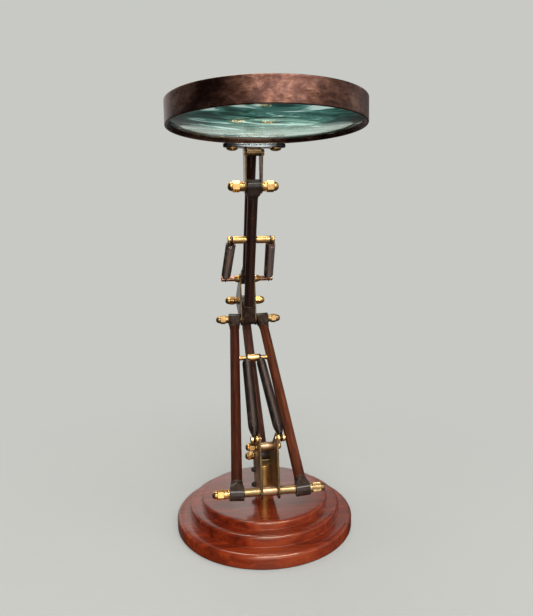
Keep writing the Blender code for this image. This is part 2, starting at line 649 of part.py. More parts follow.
def build_saddle():
    """A flat bar under the rim's +Y side, screwed up into two bosses."""
    r_in, r_out, spread = 99.5, 113.5, math.radians(17.5)
    r_mid, end_r = (r_in + r_out) / 2, (r_out - r_in) / 2

    def arc(r, start, stop):
        """Points about the rim's centre; bearings are from +Y towards +X."""
        bearings = [start + (stop - start) * k / 12 for k in range(13)]
        return [(r * math.sin(t), RIM.y + r * math.cos(t), SADDLE_Z0) for t in bearings]

    def round_end(bearing, first):
        x, y = r_mid * math.sin(bearing), RIM.y + r_mid * math.cos(bearing)
        angles = [first - math.pi * k / 6 for k in range(1, 6)]
        return [(x + end_r * math.cos(a), y + end_r * math.sin(a), SADDLE_Z0) for a in angles]

    outline = (arc(r_out, -spread, spread) + round_end(spread, math.pi / 2 - spread)
               + arc(r_in, spread, -spread) + round_end(-spread, math.pi * 3 / 2 + spread))
    bar = extrude(outline, (0, 0, SADDLE_Z1 - SADDLE_Z0))
    saddle = add("lens_saddle", bar, "lens", BLACK)

    head_z = SADDLE_Z0 - 0.3
    screw = [
        (SADDLE_Z0 - 3.4, 0), (SADDLE_Z0 - 3.2, 2.8), (SADDLE_Z0 - 2.5, 5.2),
        (SADDLE_Z0 - 1.3, 6.9), (head_z, 7.2), (head_z, 2.2),
        (RING_Z0 + 8.0, 2.2), (RING_Z0 + 8.0, 0),
    ]
    for side, sx in SIDES:
        at = Vector((sx * BOSS_X, BOSS_Y, 0))
        cut(saddle, cyl(2.7, at + Vector((0, 0, SADDLE_Z0 - 3)),
                        at + Vector((0, 0, SADDLE_Z1 + 3)), 14))
        add("lens_saddle_screw_" + side, lathe(screw, at, "Z", 16), "lens", BRASS)


def build_tilt_block():
    """Stands between the head plates under the saddle, rounded about the tilt pin."""
    block = add("tilt_block", cyl_x(4.4, -SPACER_X, SPACER_X, TILT, 24), "lens", BRASS)
    join(block, box(-SPACER_X, SPACER_X, TILT.y - 5.6, TILT.y + 4.3,
                    TILT.z + 0.6, SADDLE_Z0 - GAP))
    cut(block, cyl_x(PIN_R + RUN, -12, 12, TILT))


build_base()
build_barrel_and_cheeks()
build_base_axle()
build_cheek_fittings()
build_lower_arm()
build_elbow()
build_upper_arm()
build_head()
build_lens_ring()
build_glass()
build_saddle()
build_tilt_block()
build_springs()
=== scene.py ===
"""Looks for the desk magnifier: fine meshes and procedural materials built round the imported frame."""
import json
import math

import bmesh
import bpy
from mathutils import Matrix, Vector, noise


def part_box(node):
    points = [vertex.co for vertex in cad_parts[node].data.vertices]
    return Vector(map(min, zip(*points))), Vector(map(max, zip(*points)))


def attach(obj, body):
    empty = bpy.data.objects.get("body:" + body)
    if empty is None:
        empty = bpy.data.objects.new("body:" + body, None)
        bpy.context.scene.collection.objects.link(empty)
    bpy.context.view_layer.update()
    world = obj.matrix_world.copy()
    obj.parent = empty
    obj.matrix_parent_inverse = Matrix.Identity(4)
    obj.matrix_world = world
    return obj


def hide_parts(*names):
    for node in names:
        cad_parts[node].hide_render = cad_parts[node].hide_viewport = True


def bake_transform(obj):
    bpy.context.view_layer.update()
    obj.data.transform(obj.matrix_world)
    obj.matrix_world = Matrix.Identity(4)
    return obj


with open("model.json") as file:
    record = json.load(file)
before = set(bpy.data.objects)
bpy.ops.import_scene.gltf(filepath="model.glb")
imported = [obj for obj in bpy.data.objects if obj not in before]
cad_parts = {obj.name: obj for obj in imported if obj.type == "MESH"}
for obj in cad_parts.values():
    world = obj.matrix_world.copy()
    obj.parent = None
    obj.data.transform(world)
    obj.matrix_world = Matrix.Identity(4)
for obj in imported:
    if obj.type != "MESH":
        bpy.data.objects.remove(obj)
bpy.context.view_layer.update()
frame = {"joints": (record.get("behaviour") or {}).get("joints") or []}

MM = 0.001

# ---------------------------------------------------------------- pivots, read from the frame (mm)
JOINT = {j["name"]: Vector(j["pos_m"]) * 1000 for j in frame["joints"]}


def centre(node):
    lo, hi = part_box(node)
    return (lo + hi) / 2 * 1000


def flat(v):
    return Vector((0, v.y, v.z))


D, B, C = flat(JOINT["lower_arm_pivot"]), JOINT["lower_link_pivot"], JOINT["lower_spring_pivot"]
E1, E3, H1, T = JOINT["elbow_pivot"], JOINT["upper_link_pivot"], JOINT["head_pivot"], JOINT["lens_tilt"]
E2, H2, A = E1 + (B - D), H1 + (E3 - E1), flat(centre("stay_bolt"))
P, G = flat(centre("lower_spring_pin")), flat(centre("upper_spring_bar"))
LEG_X0, LEG_X1 = centre("leg_foot_right").x, centre("leg_top_right").x
SPOOL_X, P_EYE_X, G_EYE_X, E3_EYE_X = 15.8, 9.5, 26.7, 31.5
LENS_TILT = math.radians(-1.36)
RING = T + Vector((0, -108.1, 9.8))
RING_R, RING_H = 107.3, 25.5
LENS = Matrix.Translation(T) @ Matrix.Rotation(LENS_TILT, 4, "X") @ Matrix.Translation(-T)
PLATE_IN, PLATE_OUT = 9.3, 11.3
EYE_HALF = 8.9
LEG_R, LINK_R, ARM_R = 6.6, 6.8, 6.8
X = Vector((1, 0, 0))


# ---------------------------------------------------------------- node materials
class Mat:
    """A short way to write a node tree round one Principled shader."""

    def __init__(self, name, colour=(0.5, 0.5, 0.5), rough=0.5, metal=0.0, **inputs):
        self.mat = bpy.data.materials.new(name)
        self.mat.use_nodes = True
        self.tree = self.mat.node_tree
        self.shader = self.tree.nodes["Principled BSDF"]
        self.put("Base Color", colour)
        self.put("Roughness", rough)
        self.put("Metallic", metal)
        for key, value in inputs.items():
            self.put(key.replace("_", " "), value)
        self.coords = self.tree.nodes.new("ShaderNodeTexCoord").outputs["Object"]
        self.mat.diffuse_color = (*colour, 1) if isinstance(colour, tuple) else (0.5, 0.5, 0.5, 1)

    def put(self, name, value):
        socket = self.shader.inputs[name]
        if isinstance(value, bpy.types.NodeSocket):
            self.tree.links.new(value, socket)
        elif isinstance(value, tuple) and len(value) == 3 and socket.type == "RGBA":
            socket.default_value = (*value, 1)
        else:
            socket.default_value = value

    def node(self, kind, out=0, props=None, **inputs):
        n = self.tree.nodes.new(kind)
        for k, v in (props or {}).items():
            setattr(n, k, v)
        for k, v in inputs.items():
            s = n.inputs[int(k[1:])] if k[0] == "i" and k[1:].isdigit() else n.inputs[k.replace("_", " ")]
            if isinstance(v, bpy.types.NodeSocket):
                self.tree.links.new(v, s)
            elif isinstance(v, tuple) and s.type == "RGBA" and len(v) == 3:
                s.default_value = (*v, 1)
            else:
                s.default_value = v
        return n.outputs[out]

    def scale(self, x, y, z, vector=None, turn=(0, 0, 0)):
        return self.node("ShaderNodeMapping", Vector=vector or self.coords, Scale=(x, y, z), Rotation=turn)

    def noise(self, vector, scale, detail=4.0, rough=0.55, distort=0.0):
        return self.node("ShaderNodeTexNoise", 0, None, Vector=vector, Scale=scale, Detail=detail, Roughness=rough, Distortion=distort)

    def ramp(self, fac, *stops):
        n = self.tree.nodes.new("ShaderNodeValToRGB")
        r = n.color_ramp
        while len(r.elements) < len(stops):
            r.elements.new(0.5)
        for e, (pos, col) in zip(r.elements, stops):
            e.position = pos
            e.color = (*col, 1) if isinstance(col, tuple) else (col, col, col, 1)
        self.tree.links.new(fac, n.inputs[0])
        return n.outputs[0]

    def math(self, op, a, b=0.0, clamp=False):
        return self.node("ShaderNodeMath", 0, {"operation": op, "use_clamp": clamp}, i0=a, i1=b)

    def mix(self, fac, a, b):
        n = self.tree.nodes.new("ShaderNodeMix")
        n.data_type = "RGBA"
        for i, v in ((0, fac), (6, a), (7, b)):
            if isinstance(v, bpy.types.NodeSocket):
                self.tree.links.new(v, n.inputs[i])
            else:
                n.inputs[i].default_value = (*v, 1) if isinstance(v, tuple) else v
        return n.outputs[2]

    def edges(self, low=0.505, high=0.56):
        """1 on convex edges, 0 on flats."""
        point = self.node("ShaderNodeNewGeometry", 7)
        return self.ramp(point, (low, 0.0), (high, 1.0))

    def bump(self, height, strength=0.2, distance=0.0002, normal=None):
        kw = {"Normal": normal} if normal else {}
        return self.node("ShaderNodeBump", 0, None, Height=height, Strength=strength, Distance=distance, **kw)


def brass_material(name, light, dark, rough=(0.1, 0.32), tarnish=0.5, seed=0.0, edge=0.5):
    m = Mat(name, light, 0.2, 1.0)
    v = m.node("ShaderNodeMapping", Vector=m.coords, Location=(seed, seed * 2, seed * 3))
    big = m.noise(v, 90, 5, 0.6, 0.4)
    fine = m.noise(v, 900, 4, 0.6)
    spots = m.ramp(m.noise(v, 420, 6, 0.7, 0.8), (0.60, 0.0), (0.72, 1.0))
    cloud = m.ramp(big, (0.36, 0.0), (0.66, 1.0))
    col = m.mix(cloud, dark, light)
    col = m.mix(m.math("MULTIPLY", spots, tarnish), col, (0.16, 0.075, 0.03))
    col = m.mix(m.math("MULTIPLY", m.edges(), edge), col, tuple(min(1.0, c * 1.25) for c in light))
    m.put("Base Color", col)
    m.put("Roughness", m.math("ADD", m.ramp(big, (0.3, rough[1]), (0.7, rough[0])), m.math("MULTIPLY", spots, 0.2)))
    lines = m.noise(m.scale(2600, 60, 60), 1.0, 2, 0.5)
    h = m.math("ADD", m.math("MULTIPLY", fine, 0.5), m.math("MULTIPLY", lines, 0.5))
    m.put("Normal", m.bump(h, 0.10, 0.00005))
    return m.mat


def saddle_material():
    """Flat bar of steel with a painted highlight: base colour bluish-white along the middle, darkening to black towards
    its ends, in place of a reflection.
    """
    m = Mat("steel_bar_painted_highlight", (0.4, 0.42, 0.44), 0.25, 1.0)
    x = m.math("ABSOLUTE", m.node("ShaderNodeSeparateXYZ", 0, None, Vector=m.coords), 0.0)
    # noise that jitters the edge of the painted highlight band and varies the roughness
    worn = m.noise(m.coords, 260, 5, 0.65)
    k = m.math("ADD", x, m.math("MULTIPLY", worn, 0.010))
    # painted highlight: bluish-white near the middle, then dark grey, then near black towards the ends
    m.put("Base Color", m.ramp(k, (0.021, (0.76, 0.80, 0.84)), (0.028, (0.20, 0.20, 0.21)), (0.034, (0.035, 0.032, 0.032))))
    m.put("Roughness", m.ramp(worn, (0.3, 0.32), (0.7, 0.20)))
    m.put("Normal", m.bump(m.noise(m.scale(60, 900, 900), 1.0, 3), 0.1, 0.00006))
    return m.mat


def wood_rod_material(name, light, mid, dark, coat=0.03, rough=0.40, spec=0.08, tint=(1.0, 0.8, 0.7)):
    """Grain runs along the piece's own Z."""
    m = Mat(name, mid, rough)
    long = m.scale(260, 260, 9)
    streak = m.noise(long, 1.0, 7, 0.62, 1.1)
    pores = m.noise(m.scale(1500, 1500, 45), 1.0, 3, 0.6)
    pore = m.ramp(pores, (0.56, 0.0), (0.66, 1.0))
    col = m.ramp(streak, (0.32, dark), (0.5, mid), (0.72, light))
    wave = m.noise(m.scale(40, 40, 14), 1.0, 4, 0.6)
    col = m.mix(m.ramp(wave, (0.42, 0.0), (0.62, 0.55)), col, dark)
    col = m.mix(m.math("MULTIPLY", pore, 0.65), col, tuple(c * 0.25 for c in dark))
    m.put("Base Color", col)
    m.put("Roughness", m.ramp(streak, (0.3, rough + 0.12), (0.7, rough - 0.05)))
    m.put("Specular IOR Level", spec)
    m.put("Specular Tint", (*tint, 1.0))
    m.put("Coat Weight", coat)
    m.put("Coat Roughness", m.ramp(m.noise(m.coords, 120, 3), (0.3, 0.08), (0.7, 0.2)))
    m.put("Normal", m.bump(m.math("SUBTRACT", streak, m.math("MULTIPLY", pore, 0.7)), 0.25, 0.00012))
    return m.mat


def plinth_material():
    """Lacquered red hardwood: fine straight grain with a slow figure, long pores, and a glossy coat."""
    m = Mat("lacquered_hardwood", (0.3, 0.06, 0.028), 0.3)
    bend = m.noise(m.scale(1, 1, 1), 6, 3, 0.5, 0.3)
    shift = m.node("ShaderNodeVectorMath", 0, {"operation": "MULTIPLY_ADD"}, i0=m.node("ShaderNodeCombineXYZ", X=0.0, Y=bend, Z=0.0), i1=(0, 0.05, 0), i2=m.coords)
    grain = m.noise(m.scale(7, 150, 90, shift), 1.0, 8, 0.62, 0.35)
    figure = m.noise(m.scale(3.2, 26, 22, shift), 1.0, 5, 0.55, 0.8)
    pores = m.ramp(m.noise(m.scale(80, 1700, 1300, shift), 1.0, 3, 0.6), (0.58, 0.0), (0.70, 1.0))
    g = m.math("ADD", m.math("MULTIPLY", figure, 0.40), m.math("MULTIPLY", grain, 0.60))
    col = m.ramp(g, (0.32, (0.055, 0.006, 0.0022)), (0.44, (0.125, 0.0145, 0.004)), (0.54, (0.185, 0.025, 0.0065)), (0.70, (0.285, 0.052, 0.0125)))
    height = m.node("ShaderNodeSeparateXYZ", 2, None, Vector=m.coords)
    # above about 16.5 mm the colour comes from a deeper, darker red ramp
    upper = m.ramp(height, (0.0135, 0.0), (0.0165, 1.0))
    deep = m.ramp(g, (0.34, (0.034, 0.0030, 0.0011)), (0.44, (0.090, 0.0085, 0.0024)), (0.53, (0.150, 0.0170, 0.0044)), (0.68, (0.245, 0.040, 0.0100)))
    col = m.mix(upper, col, deep)
    cloud = m.noise(m.coords, 11, 3, 0.5)
    col = m.mix(m.ramp(cloud, (0.40, 0.0), (0.70, 0.45)), col, (0.065, 0.008, 0.003))
    col = m.mix(m.math("MULTIPLY", pores, 0.5), col, (0.060, 0.009, 0.006))
    # darker towards the bottom, over the lowest 6 mm of the plinth
    low = m.ramp(height, (0.000, 0.45), (0.006, 0.0))
    col = m.mix(low, col, (0.06, 0.012, 0.008))
    m.put("Base Color", col)
    m.put("Roughness", m.ramp(grain, (0.3, 0.26), (0.7, 0.16)))
    m.put("Specular IOR Level", 0.5)
    m.put("Specular Tint", (1.0, 0.72, 0.40, 1.0))
    m.put("Coat Weight", 0.6)
    m.put("Coat IOR", 1.5)
    m.put("Coat Roughness", m.ramp(m.noise(m.coords, 60, 4), (0.3, 0.05), (0.75, 0.15)))
    ripple = m.noise(m.scale(20, 20, 50), 1.0, 3, 0.5)
    m.put("Coat Normal", m.bump(ripple, 0.12, 0.0006))
    m.put("Normal", m.bump(m.math("SUBTRACT", grain, m.math("MULTIPLY", pores, 0.8)), 0.2, 0.00012))
    return m.mat


def black_material(name, rough=(0.30, 0.45), colour=(0.0125, 0.0075, 0.0055)):
    m = Mat(name, colour, 0.3, 0.0)
    n1 = m.noise(m.coords, 160, 5, 0.6)
    n2 = m.noise(m.coords, 1300, 3, 0.6)
    wear = m.math("MULTIPLY", m.edges(0.53, 0.62), m.ramp(n1, (0.45, 0.0), (0.62, 1.0)))
    col = m.mix(m.ramp(n1, (0.4, 0.0), (0.75, 1.0)), colour, (0.032, 0.018, 0.013))
    m.put("Base Color", m.mix(wear, col, (0.30, 0.20, 0.12)))
    m.put("Metallic", m.math("MULTIPLY", wear, 0.9))
    m.put("Roughness", m.ramp(n1, (0.3, rough[0]), (0.7, rough[1])))
    m.put("Specular IOR Level", 0.16)
    m.put("Specular Tint", (1.0, 0.78, 0.62, 1.0))
    m.put("Coat Weight", 0.42)
    m.put("Coat Roughness", 0.06)
    m.put("Normal", m.bump(n2, 0.18, 0.00006))
    return m.mat


def spring_material(name="spring_steel_brighter", level=1.0):
    # level scales the whole colour, giving brighter and darker copies of one recipe
    tone = lambda *c: tuple(v * level for v in c)
    m = Mat(name, (0.05, 0.04, 0.035), 0.35, 1.0)
    big = m.noise(m.coords, 55, 5, 0.65, 0.5)
    fine = m.noise(m.coords, 900, 4, 0.65)
    rust = m.ramp(m.math("ADD", m.math("MULTIPLY", big, 0.75), m.math("MULTIPLY", fine, 0.25)), (0.53, 0.0), (0.68, 0.8))
    col = m.mix(rust, tone(0.17, 0.125, 0.105), m.mix(fine, tone(0.12, 0.055, 0.034), tone(0.28, 0.12, 0.065)))
    m.put("Base Color", col)
    m.put("Metallic", m.math("SUBTRACT", 1.0, m.math("MULTIPLY", rust, 0.75)))
    m.put("Roughness", m.math("ADD", 0.32, m.math("MULTIPLY", rust, 0.35)))
    m.put("Normal", m.bump(fine, 0.3, 0.00008))
    return m.mat


def copper_material():
    """Aged copper frame: nearly black-brown patina, rubbed to a pinkish brown in clouds, under a thin worn lacquer."""
    m = Mat("aged_copper", (0.1, 0.05, 0.04), 0.3, 1.0)
    big = m.noise(m.scale(1, 1, 1.5), 20, 7, 0.66, 1.3)
    mid = m.noise(m.scale(1, 1, 2.2), 85, 6, 0.7, 0.9)
    fine = m.noise(m.coords, 700, 4, 0.65)
    k = m.math("ADD", m.math("MULTIPLY", big, 0.6), m.math("MULTIPLY", mid, 0.4))
    col = m.ramp(k, (0.36, (0.034, 0.012, 0.0062)), (0.45, (0.095, 0.037, 0.022)), (0.53, (0.20, 0.090, 0.057)), (0.61, (0.33, 0.175, 0.122)), (0.71, (0.52, 0.34, 0.27)))
    violet = m.ramp(m.noise(m.coords, 34, 4, 0.6), (0.48, 0.0), (0.66, 0.5))
    col = m.mix(violet, col, (0.055, 0.022, 0.024))
    col = m.mix(m.math("MULTIPLY", m.edges(0.52, 0.60), 0.35), col, (0.34, 0.17, 0.11))
    m.put("Base Color", col)
    m.put("Roughness", m.ramp(k, (0.38, 0.30), (0.62, 0.42)))
    m.put("Coat Weight", 0.32)
    m.put("Coat Roughness", 0.2)
    around = m.noise(m.scale(1, 1, 900), 1.0, 2, 0.5)
    h = m.math("ADD", m.math("MULTIPLY", fine, 0.6), m.math("MULTIPLY", around, 0.4))
    m.put("Normal", m.bump(h, 0.14, 0.00008))
    return m.mat


def glass_material():
    m = Mat("lens_glass", (0.62, 0.66, 0.58), 0.0, 0.0, Transmission_Weight=1.0, IOR=1.52)
    smear = m.noise(m.coords, 30, 4, 0.6)
    m.put("Base Color", m.mix(m.ramp(smear, (0.4, 0.0), (0.7, 1.0)), (0.58, 0.64, 0.57), (0.70, 0.70, 0.60)))
    m.put("Roughness", m.ramp(smear, (0.5, 0.0), (0.8, 0.025)))
    # painted glow: teal streaks emitted where the thick green glass is seen edge-on, within a patch of it and for
    # camera rays only; they stand in for light refracted through the glass
    facing = m.node("ShaderNodeLayerWeight", 1, None, Blend=0.5)
    outside = m.math("SUBTRACT", 1.0, m.node("ShaderNodeNewGeometry", 6, None))
    side = m.math("MULTIPLY", m.ramp(facing, (0.52, 0.0), (0.74, 1.0)), outside)
    swirl = m.noise(m.scale(0.75, 2.0, 1.0), 19, 3.0, 0.52, 1.6)
    painted_glow = m.ramp(swirl, (0.35, (0.006, 0.030, 0.022)), (0.44, (0.022, 0.088, 0.068)), (0.50, (0.062, 0.190, 0.152)), (0.545, (0.034, 0.115, 0.090)), (0.58, (0.18, 0.40, 0.34)), (0.64, (0.60, 0.80, 0.74)))
    place = m.tree.nodes.new("ShaderNodeSeparateXYZ")
    m.tree.links.new(m.coords, place.inputs[0])
    near = m.ramp(m.math("ADD", place.outputs[1], 0.2), (0.225, 1.0), (0.270, 0.10))
    wide = m.ramp(m.math("ABSOLUTE", place.outputs[0], 0.0), (0.055, 1.0), (0.090, 0.12))
    seen = m.node("ShaderNodeLightPath", 0, None)
    # painted glow: this emission is a painted stand-in for light seen through the glass, not a lamp
    m.put("Emission Color", painted_glow)
    m.put("Emission Strength", m.math("MULTIPLY", m.math("MULTIPLY", m.math("MULTIPLY", side, near), wide), m.math("MULTIPLY", seen, 0.85)))
    absorb = m.tree.nodes.new("ShaderNodeVolumeAbsorption")
    absorb.inputs["Color"].default_value = (0.30, 0.80, 0.70, 1)
    absorb.inputs["Density"].default_value = 7.0
    m.tree.links.new(absorb.outputs[0], m.tree.nodes["Material Output"].inputs["Volume"])
    return m.mat


BRASS = brass_material("polished_brass", (0.94, 0.57, 0.22), (0.70, 0.37, 0.12), (0.16, 0.30), 0.45)
BRASS_DULL = brass_material("dull_brass", (0.78, 0.49, 0.20), (0.48, 0.27, 0.095), (0.24, 0.40), 0.5, 0.9)
BRASS_OLD = brass_material("old_brass", (0.42, 0.285, 0.135), (0.25, 0.160, 0.07), (0.28, 0.42), 0.55, 2.3)
BRASS_WARM = brass_material("warm_brass", (0.80, 0.47, 0.17), (0.52, 0.27, 0.085), (0.20, 0.34), 0.5, 2.9)
BRASS_CHEEK = brass_material("cheek_brass", (0.50, 0.345, 0.19), (0.32, 0.21, 0.11), (0.40, 0.54), 0.5, 3.4, 0.1)
BRASS_RIM = brass_material("plate_edge_brass", (0.17, 0.110, 0.052), (0.085, 0.052, 0.024), (0.26, 0.40), 0.5, 4.1, 0.05)
BRASS_NUT = brass_material("elbow_nut_brass", (0.60, 0.375, 0.165), (0.38, 0.215, 0.08), (0.24, 0.40), 0.5, 1.3)
BRASS_AGED = brass_material("aged_brass", (0.66, 0.43, 0.21), (0.40, 0.245, 0.11), (0.26, 0.44), 0.6, 0.3)
BRASS_DARK = brass_material("dark_brass", (0.34, 0.22, 0.115), (0.165, 0.10, 0.050), (0.14, 0.26), 0.5, 0.5, 0.1)
BRASS_POST = brass_material("post_brass", (0.92, 0.58, 0.22), (0.66, 0.39, 0.13), (0.36, 0.52), 0.35, 1.7)
BRONZE = brass_material("bronze_bush", (0.47, 0.30, 0.165), (0.30, 0.175, 0.09), (0.28, 0.42), 0.5, 0.7)
COPPER_ROD = brass_material("copper_axle", (0.66, 0.36, 0.22), (0.32, 0.14, 0.08), (0.16, 0.3), 0.5, 1.1)
BLACK = black_material("black_enamel")
SCREW_BLACK = black_material("blackened_screw", (0.25, 0.42), (0.02, 0.018, 0.018))
# the same spring recipe at two brightness levels: 1.45 for the upper springs, 0.42 for the lower
SPRING = spring_material("spring_steel_brighter", 1.45)
SPRING_DARKER = spring_material("spring_steel_darker", 0.42)
COPPER = copper_material()
SADDLE = saddle_material()
GLASS = glass_material()
PLINTH = plinth_material()
LEG = wood_rod_material("rosewood_leg", (0.082, 0.0190, 0.0080), (0.041, 0.0090, 0.0040), (0.013, 0.0035, 0.0021))
LEG_WARM = wood_rod_material("rosewood_leg_warm", (0.150, 0.046, 0.017), (0.076, 0.019, 0.008), (0.021, 0.0055, 0.0032))
LINK = wood_rod_material("walnut_link", (0.110, 0.046, 0.030), (0.056, 0.021, 0.014), (0.020, 0.008, 0.006))
BAR = wood_rod_material("ebonised_bar", (0.046, 0.014, 0.0085), (0.019, 0.0072, 0.0050), (0.007, 0.0038, 0.0030), 0.20, 0.27, 0.45, (1.0, 0.78, 0.68))


# ---------------------------------------------------------------- mesh helpers (mm)
def frame_of(direction, hint=X, at=Vector()):
    """A matrix at that point whose Z runs along direction and whose X stays near hint."""
    z = direction.normalized()
    if abs(z.dot(hint)) > 0.95:
        hint = Vector((0, 0, 1)) if abs(z.z) < 0.9 else Vector((0, 1, 0))
    x = (hint - z * hint.dot(z)).normalized()
    m = Matrix((x, z.cross(x), z)).transposed().to_4x4()
    m.translation = at
    return m


def fillet(points, radius, steps=4):
    """A closed 2D outline with each corner rounded; radius is one number or one per corner."""
    out, n = [], len(points)
    for i, (x, y) in enumerate(points):
        r = radius if not isinstance(radius, (list, tuple)) else radius[i]
        p = Vector((x, y))
        a, b = Vector(points[i - 1]) - p, Vector(points[(i + 1) % n]) - p
        if r <= 0 or a.length < 1e-6 or b.length < 1e-6 or (p.y < 1e-6):
            out.append((x, y))
            continue
        half = a.angle(b) / 2
        if half > 1.5:
            out.append((x, y))
            continue
        t = min(r / math.tan(half), a.length * 0.48, b.length * 0.48)
        r = t * math.tan(half)
        mid = p + (a.normalized() + b.normalized()).normalized() * (r / math.sin(half))
        start, end = p + a.normalized() * t - mid, p + b.normalized() * t - mid
        turn = start.angle_signed(end)
        for k in range(steps + 1):
            q = start.copy()
            ang = -turn * k / steps
            c, s = math.cos(ang), math.sin(ang)
            out.append((mid.x + q.x * c - q.y * s, mid.y + q.x * s + q.y * c))
    return out


def lathe(profile, seg=96):
    """A closed (z, r) profile spun about Z."""
    bm = bmesh.new()
    rings = []
    for z, r in profile:
        if r < 1e-5:
            rings.append([bm.verts.new((0, 0, z))])
        else:
            rings.append([bm.verts.new((r * math.cos(2 * math.pi * k / seg), r * math.sin(2 * math.pi * k / seg), z)) for k in range(seg)])
    for i in range(len(rings)):
        a, b = rings[i - 1], rings[i]
        if len(a) == 1 and len(b) == 1:
            continue
        for k in range(seg):
            k2 = (k + 1) % seg
            if len(a) == 1:
                bm.faces.new((a[0], b[k], b[k2]))
            elif len(b) == 1:
                bm.faces.new((a[k], a[k2], b[0]))
            else:
                bm.faces.new((a[k], a[k2], b[k2], b[k]))
    bmesh.ops.recalc_face_normals(bm, faces=bm.faces)
    return bm


def loft(rings, cap=True):
    bm = bmesh.new()
    made = [[bm.verts.new(p) for p in ring] for ring in rings]
    n = len(made[0])
    for a, b in zip(made, made[1:]):
        for i in range(n):
            bm.faces.new((a[i], a[(i + 1) % n], b[(i + 1) % n], b[i]))
    if cap:
        bm.faces.new(made[0])
        bm.faces.new(list(reversed(made[-1])))
    bmesh.ops.recalc_face_normals(bm, faces=bm.faces)
    return bm


def moved(bm, matrix):
    bmesh.ops.transform(bm, matrix=matrix, verts=bm.verts)
    return bm


def merge(*bms):
    """Several closed shells kept together in one mesh."""
    out = bms[0]
    for other in bms[1:]:
        me = bpy.data.meshes.new("tmp")
        other.to_mesh(me)
        out.from_mesh(me)
        bpy.data.meshes.remove(me)
        other.free()
    return out


def to_object(name, bm):
    me = bpy.data.meshes.new(name)
    bm.to_mesh(me)
    bm.free()
    o = bpy.data.objects.new(name, me)
    bpy.context.scene.collection.objects.link(o)
    return o


def solve(base, steps, bevel=0.0, segments=2, angle=32):
    """Booleans on a bmesh in mm, then a bevel of its hard edges. steps holds (operation, bmesh)."""
    o = to_object("work", base)
    tools = []
    for op, bm in steps:
        c = to_object("tool", bm)
        tools.append(c)
        m = o.modifiers.new("b", "BOOLEAN")
        m.operation, m.solver, m.object = op, "EXACT", c
    if bevel:
        w = o.modifiers.new("w", "WELD")
        w.merge_threshold = 0.01
        m = o.modifiers.new("bevel", "BEVEL")
        m.width, m.segments, m.limit_method, m.angle_limit = bevel, segments, "ANGLE", math.radians(angle)
        m.use_clamp_overlap = True
    bpy.context.view_layer.update()
    ev = o.evaluated_get(bpy.context.evaluated_depsgraph_get())
    me = bpy.data.meshes.new_from_object(ev)
    out = bmesh.new()
    out.from_mesh(me)
    bpy.data.meshes.remove(me)
    for t in tools + [o]:
        bpy.data.objects.remove(t, do_unlink=True)
    return out


def piece(name, bm, body, mat, nodes, local=None, sharp=30.0, mats=None):
    """Makes a piece from a bmesh in mm. local is the piece's own frame; the mesh is given in it."""
    bmesh.ops.transform(bm, matrix=Matrix.Scale(MM, 4), verts=bm.verts)
    o = to_object(name, bm)
    for m in (mats or [mat]):
        o.data.materials.append(m)
    o.data.shade_smooth()
    o.data.set_sharp_from_angle(angle=math.radians(sharp))
    if local is not None:
        w = local.copy()
        w.translation = local.translation * MM
        o.matrix_world = w
    if body:
        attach(o, body)
    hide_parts(*([nodes] if isinstance(nodes, str) else nodes))
    return o


def shaft_frame(at, way=1):
    """Local Z along X (or -X), for turned pieces on a shaft."""
    return frame_of(X * way, Vector((0, 0, 1)), at)


def turned(name, body, profile, at, mat, nodes, axis="X", radius=0.3, seg=72, way=1, steps=3):
    bm = lathe(fillet(profile, radius, steps), seg)
    local = shaft_frame(at, way) if axis == "X" else Matrix.Translation(at)
    return piece(name, bm, body, mat, nodes, local)


def hex_r(t, flats):
    local = (t + math.pi / 6) % (math.pi / 3) - math.pi / 6
    return flats / 2 / math.cos(local)


def acorn(start, base_r, base_len, flats, hex_len, dome_len, seg=96, back=None):
    """A collared acorn nut along local Z from start. back is a list of (z, r) rings before the collar, for a fixed head on a shank."""
    corner = flats / 2 / math.cos(math.pi / 6)
    st = [(z, lambda t, r=r: r) for z, r in (back or [])]
    s = start
    ring = [(s, base_r - 0.35), (s + 0.15, base_r - 0.1), (s + 0.4, base_r), (s + 1.0, base_r), (s + 1.25, base_r - 0.12), (s + 1.4, base_r - 0.4), (s + 1.6, base_r - 0.3)]
    neck = base_r - 0.3
    ring += [(s + base_len - 0.9, neck), (s + base_len - 0.45, neck + 0.05), (s + base_len - 0.1, neck + 0.2)]
    st += [(z, lambda t, r=r: r) for z, r in ring]
    s += base_len
    for k in range(6):
        q = k / 5
        cap = flats / 2 * 0.985 + (corner * 0.992 - flats / 2 * 0.985) * q
        st.append((s + 0.62 * q, lambda t, c=cap: min(hex_r(t, flats), c)))
    e = s + hex_len
    for k in range(6):
        q = k / 5
        cap = corner * 0.992 + (flats / 2 * 0.985 - corner * 0.992) * q
        st.append((e - 0.62 * (1 - q), lambda t, c=cap: min(hex_r(t, flats), c)))
    r0 = flats / 2 * 0.93
    st.append((e + 0.12, lambda t: r0 + 0.12))
    st.append((e + 0.35, lambda t: r0))
    for k in range(1, 13):
        a = math.pi / 2 * k / 13
        st.append((e + 0.35 + (dome_len - 0.35) * math.sin(a), lambda t, r=r0 * math.cos(a) ** 0.8: r))
    rings = []
    for z, f in st:
        rings.append([Vector((f(2 * math.pi * k / seg) * math.cos(2 * math.pi * k / seg), f(2 * math.pi * k / seg) * math.sin(2 * math.pi * k / seg), z)) for k in range(seg)])
    return loft(rings)


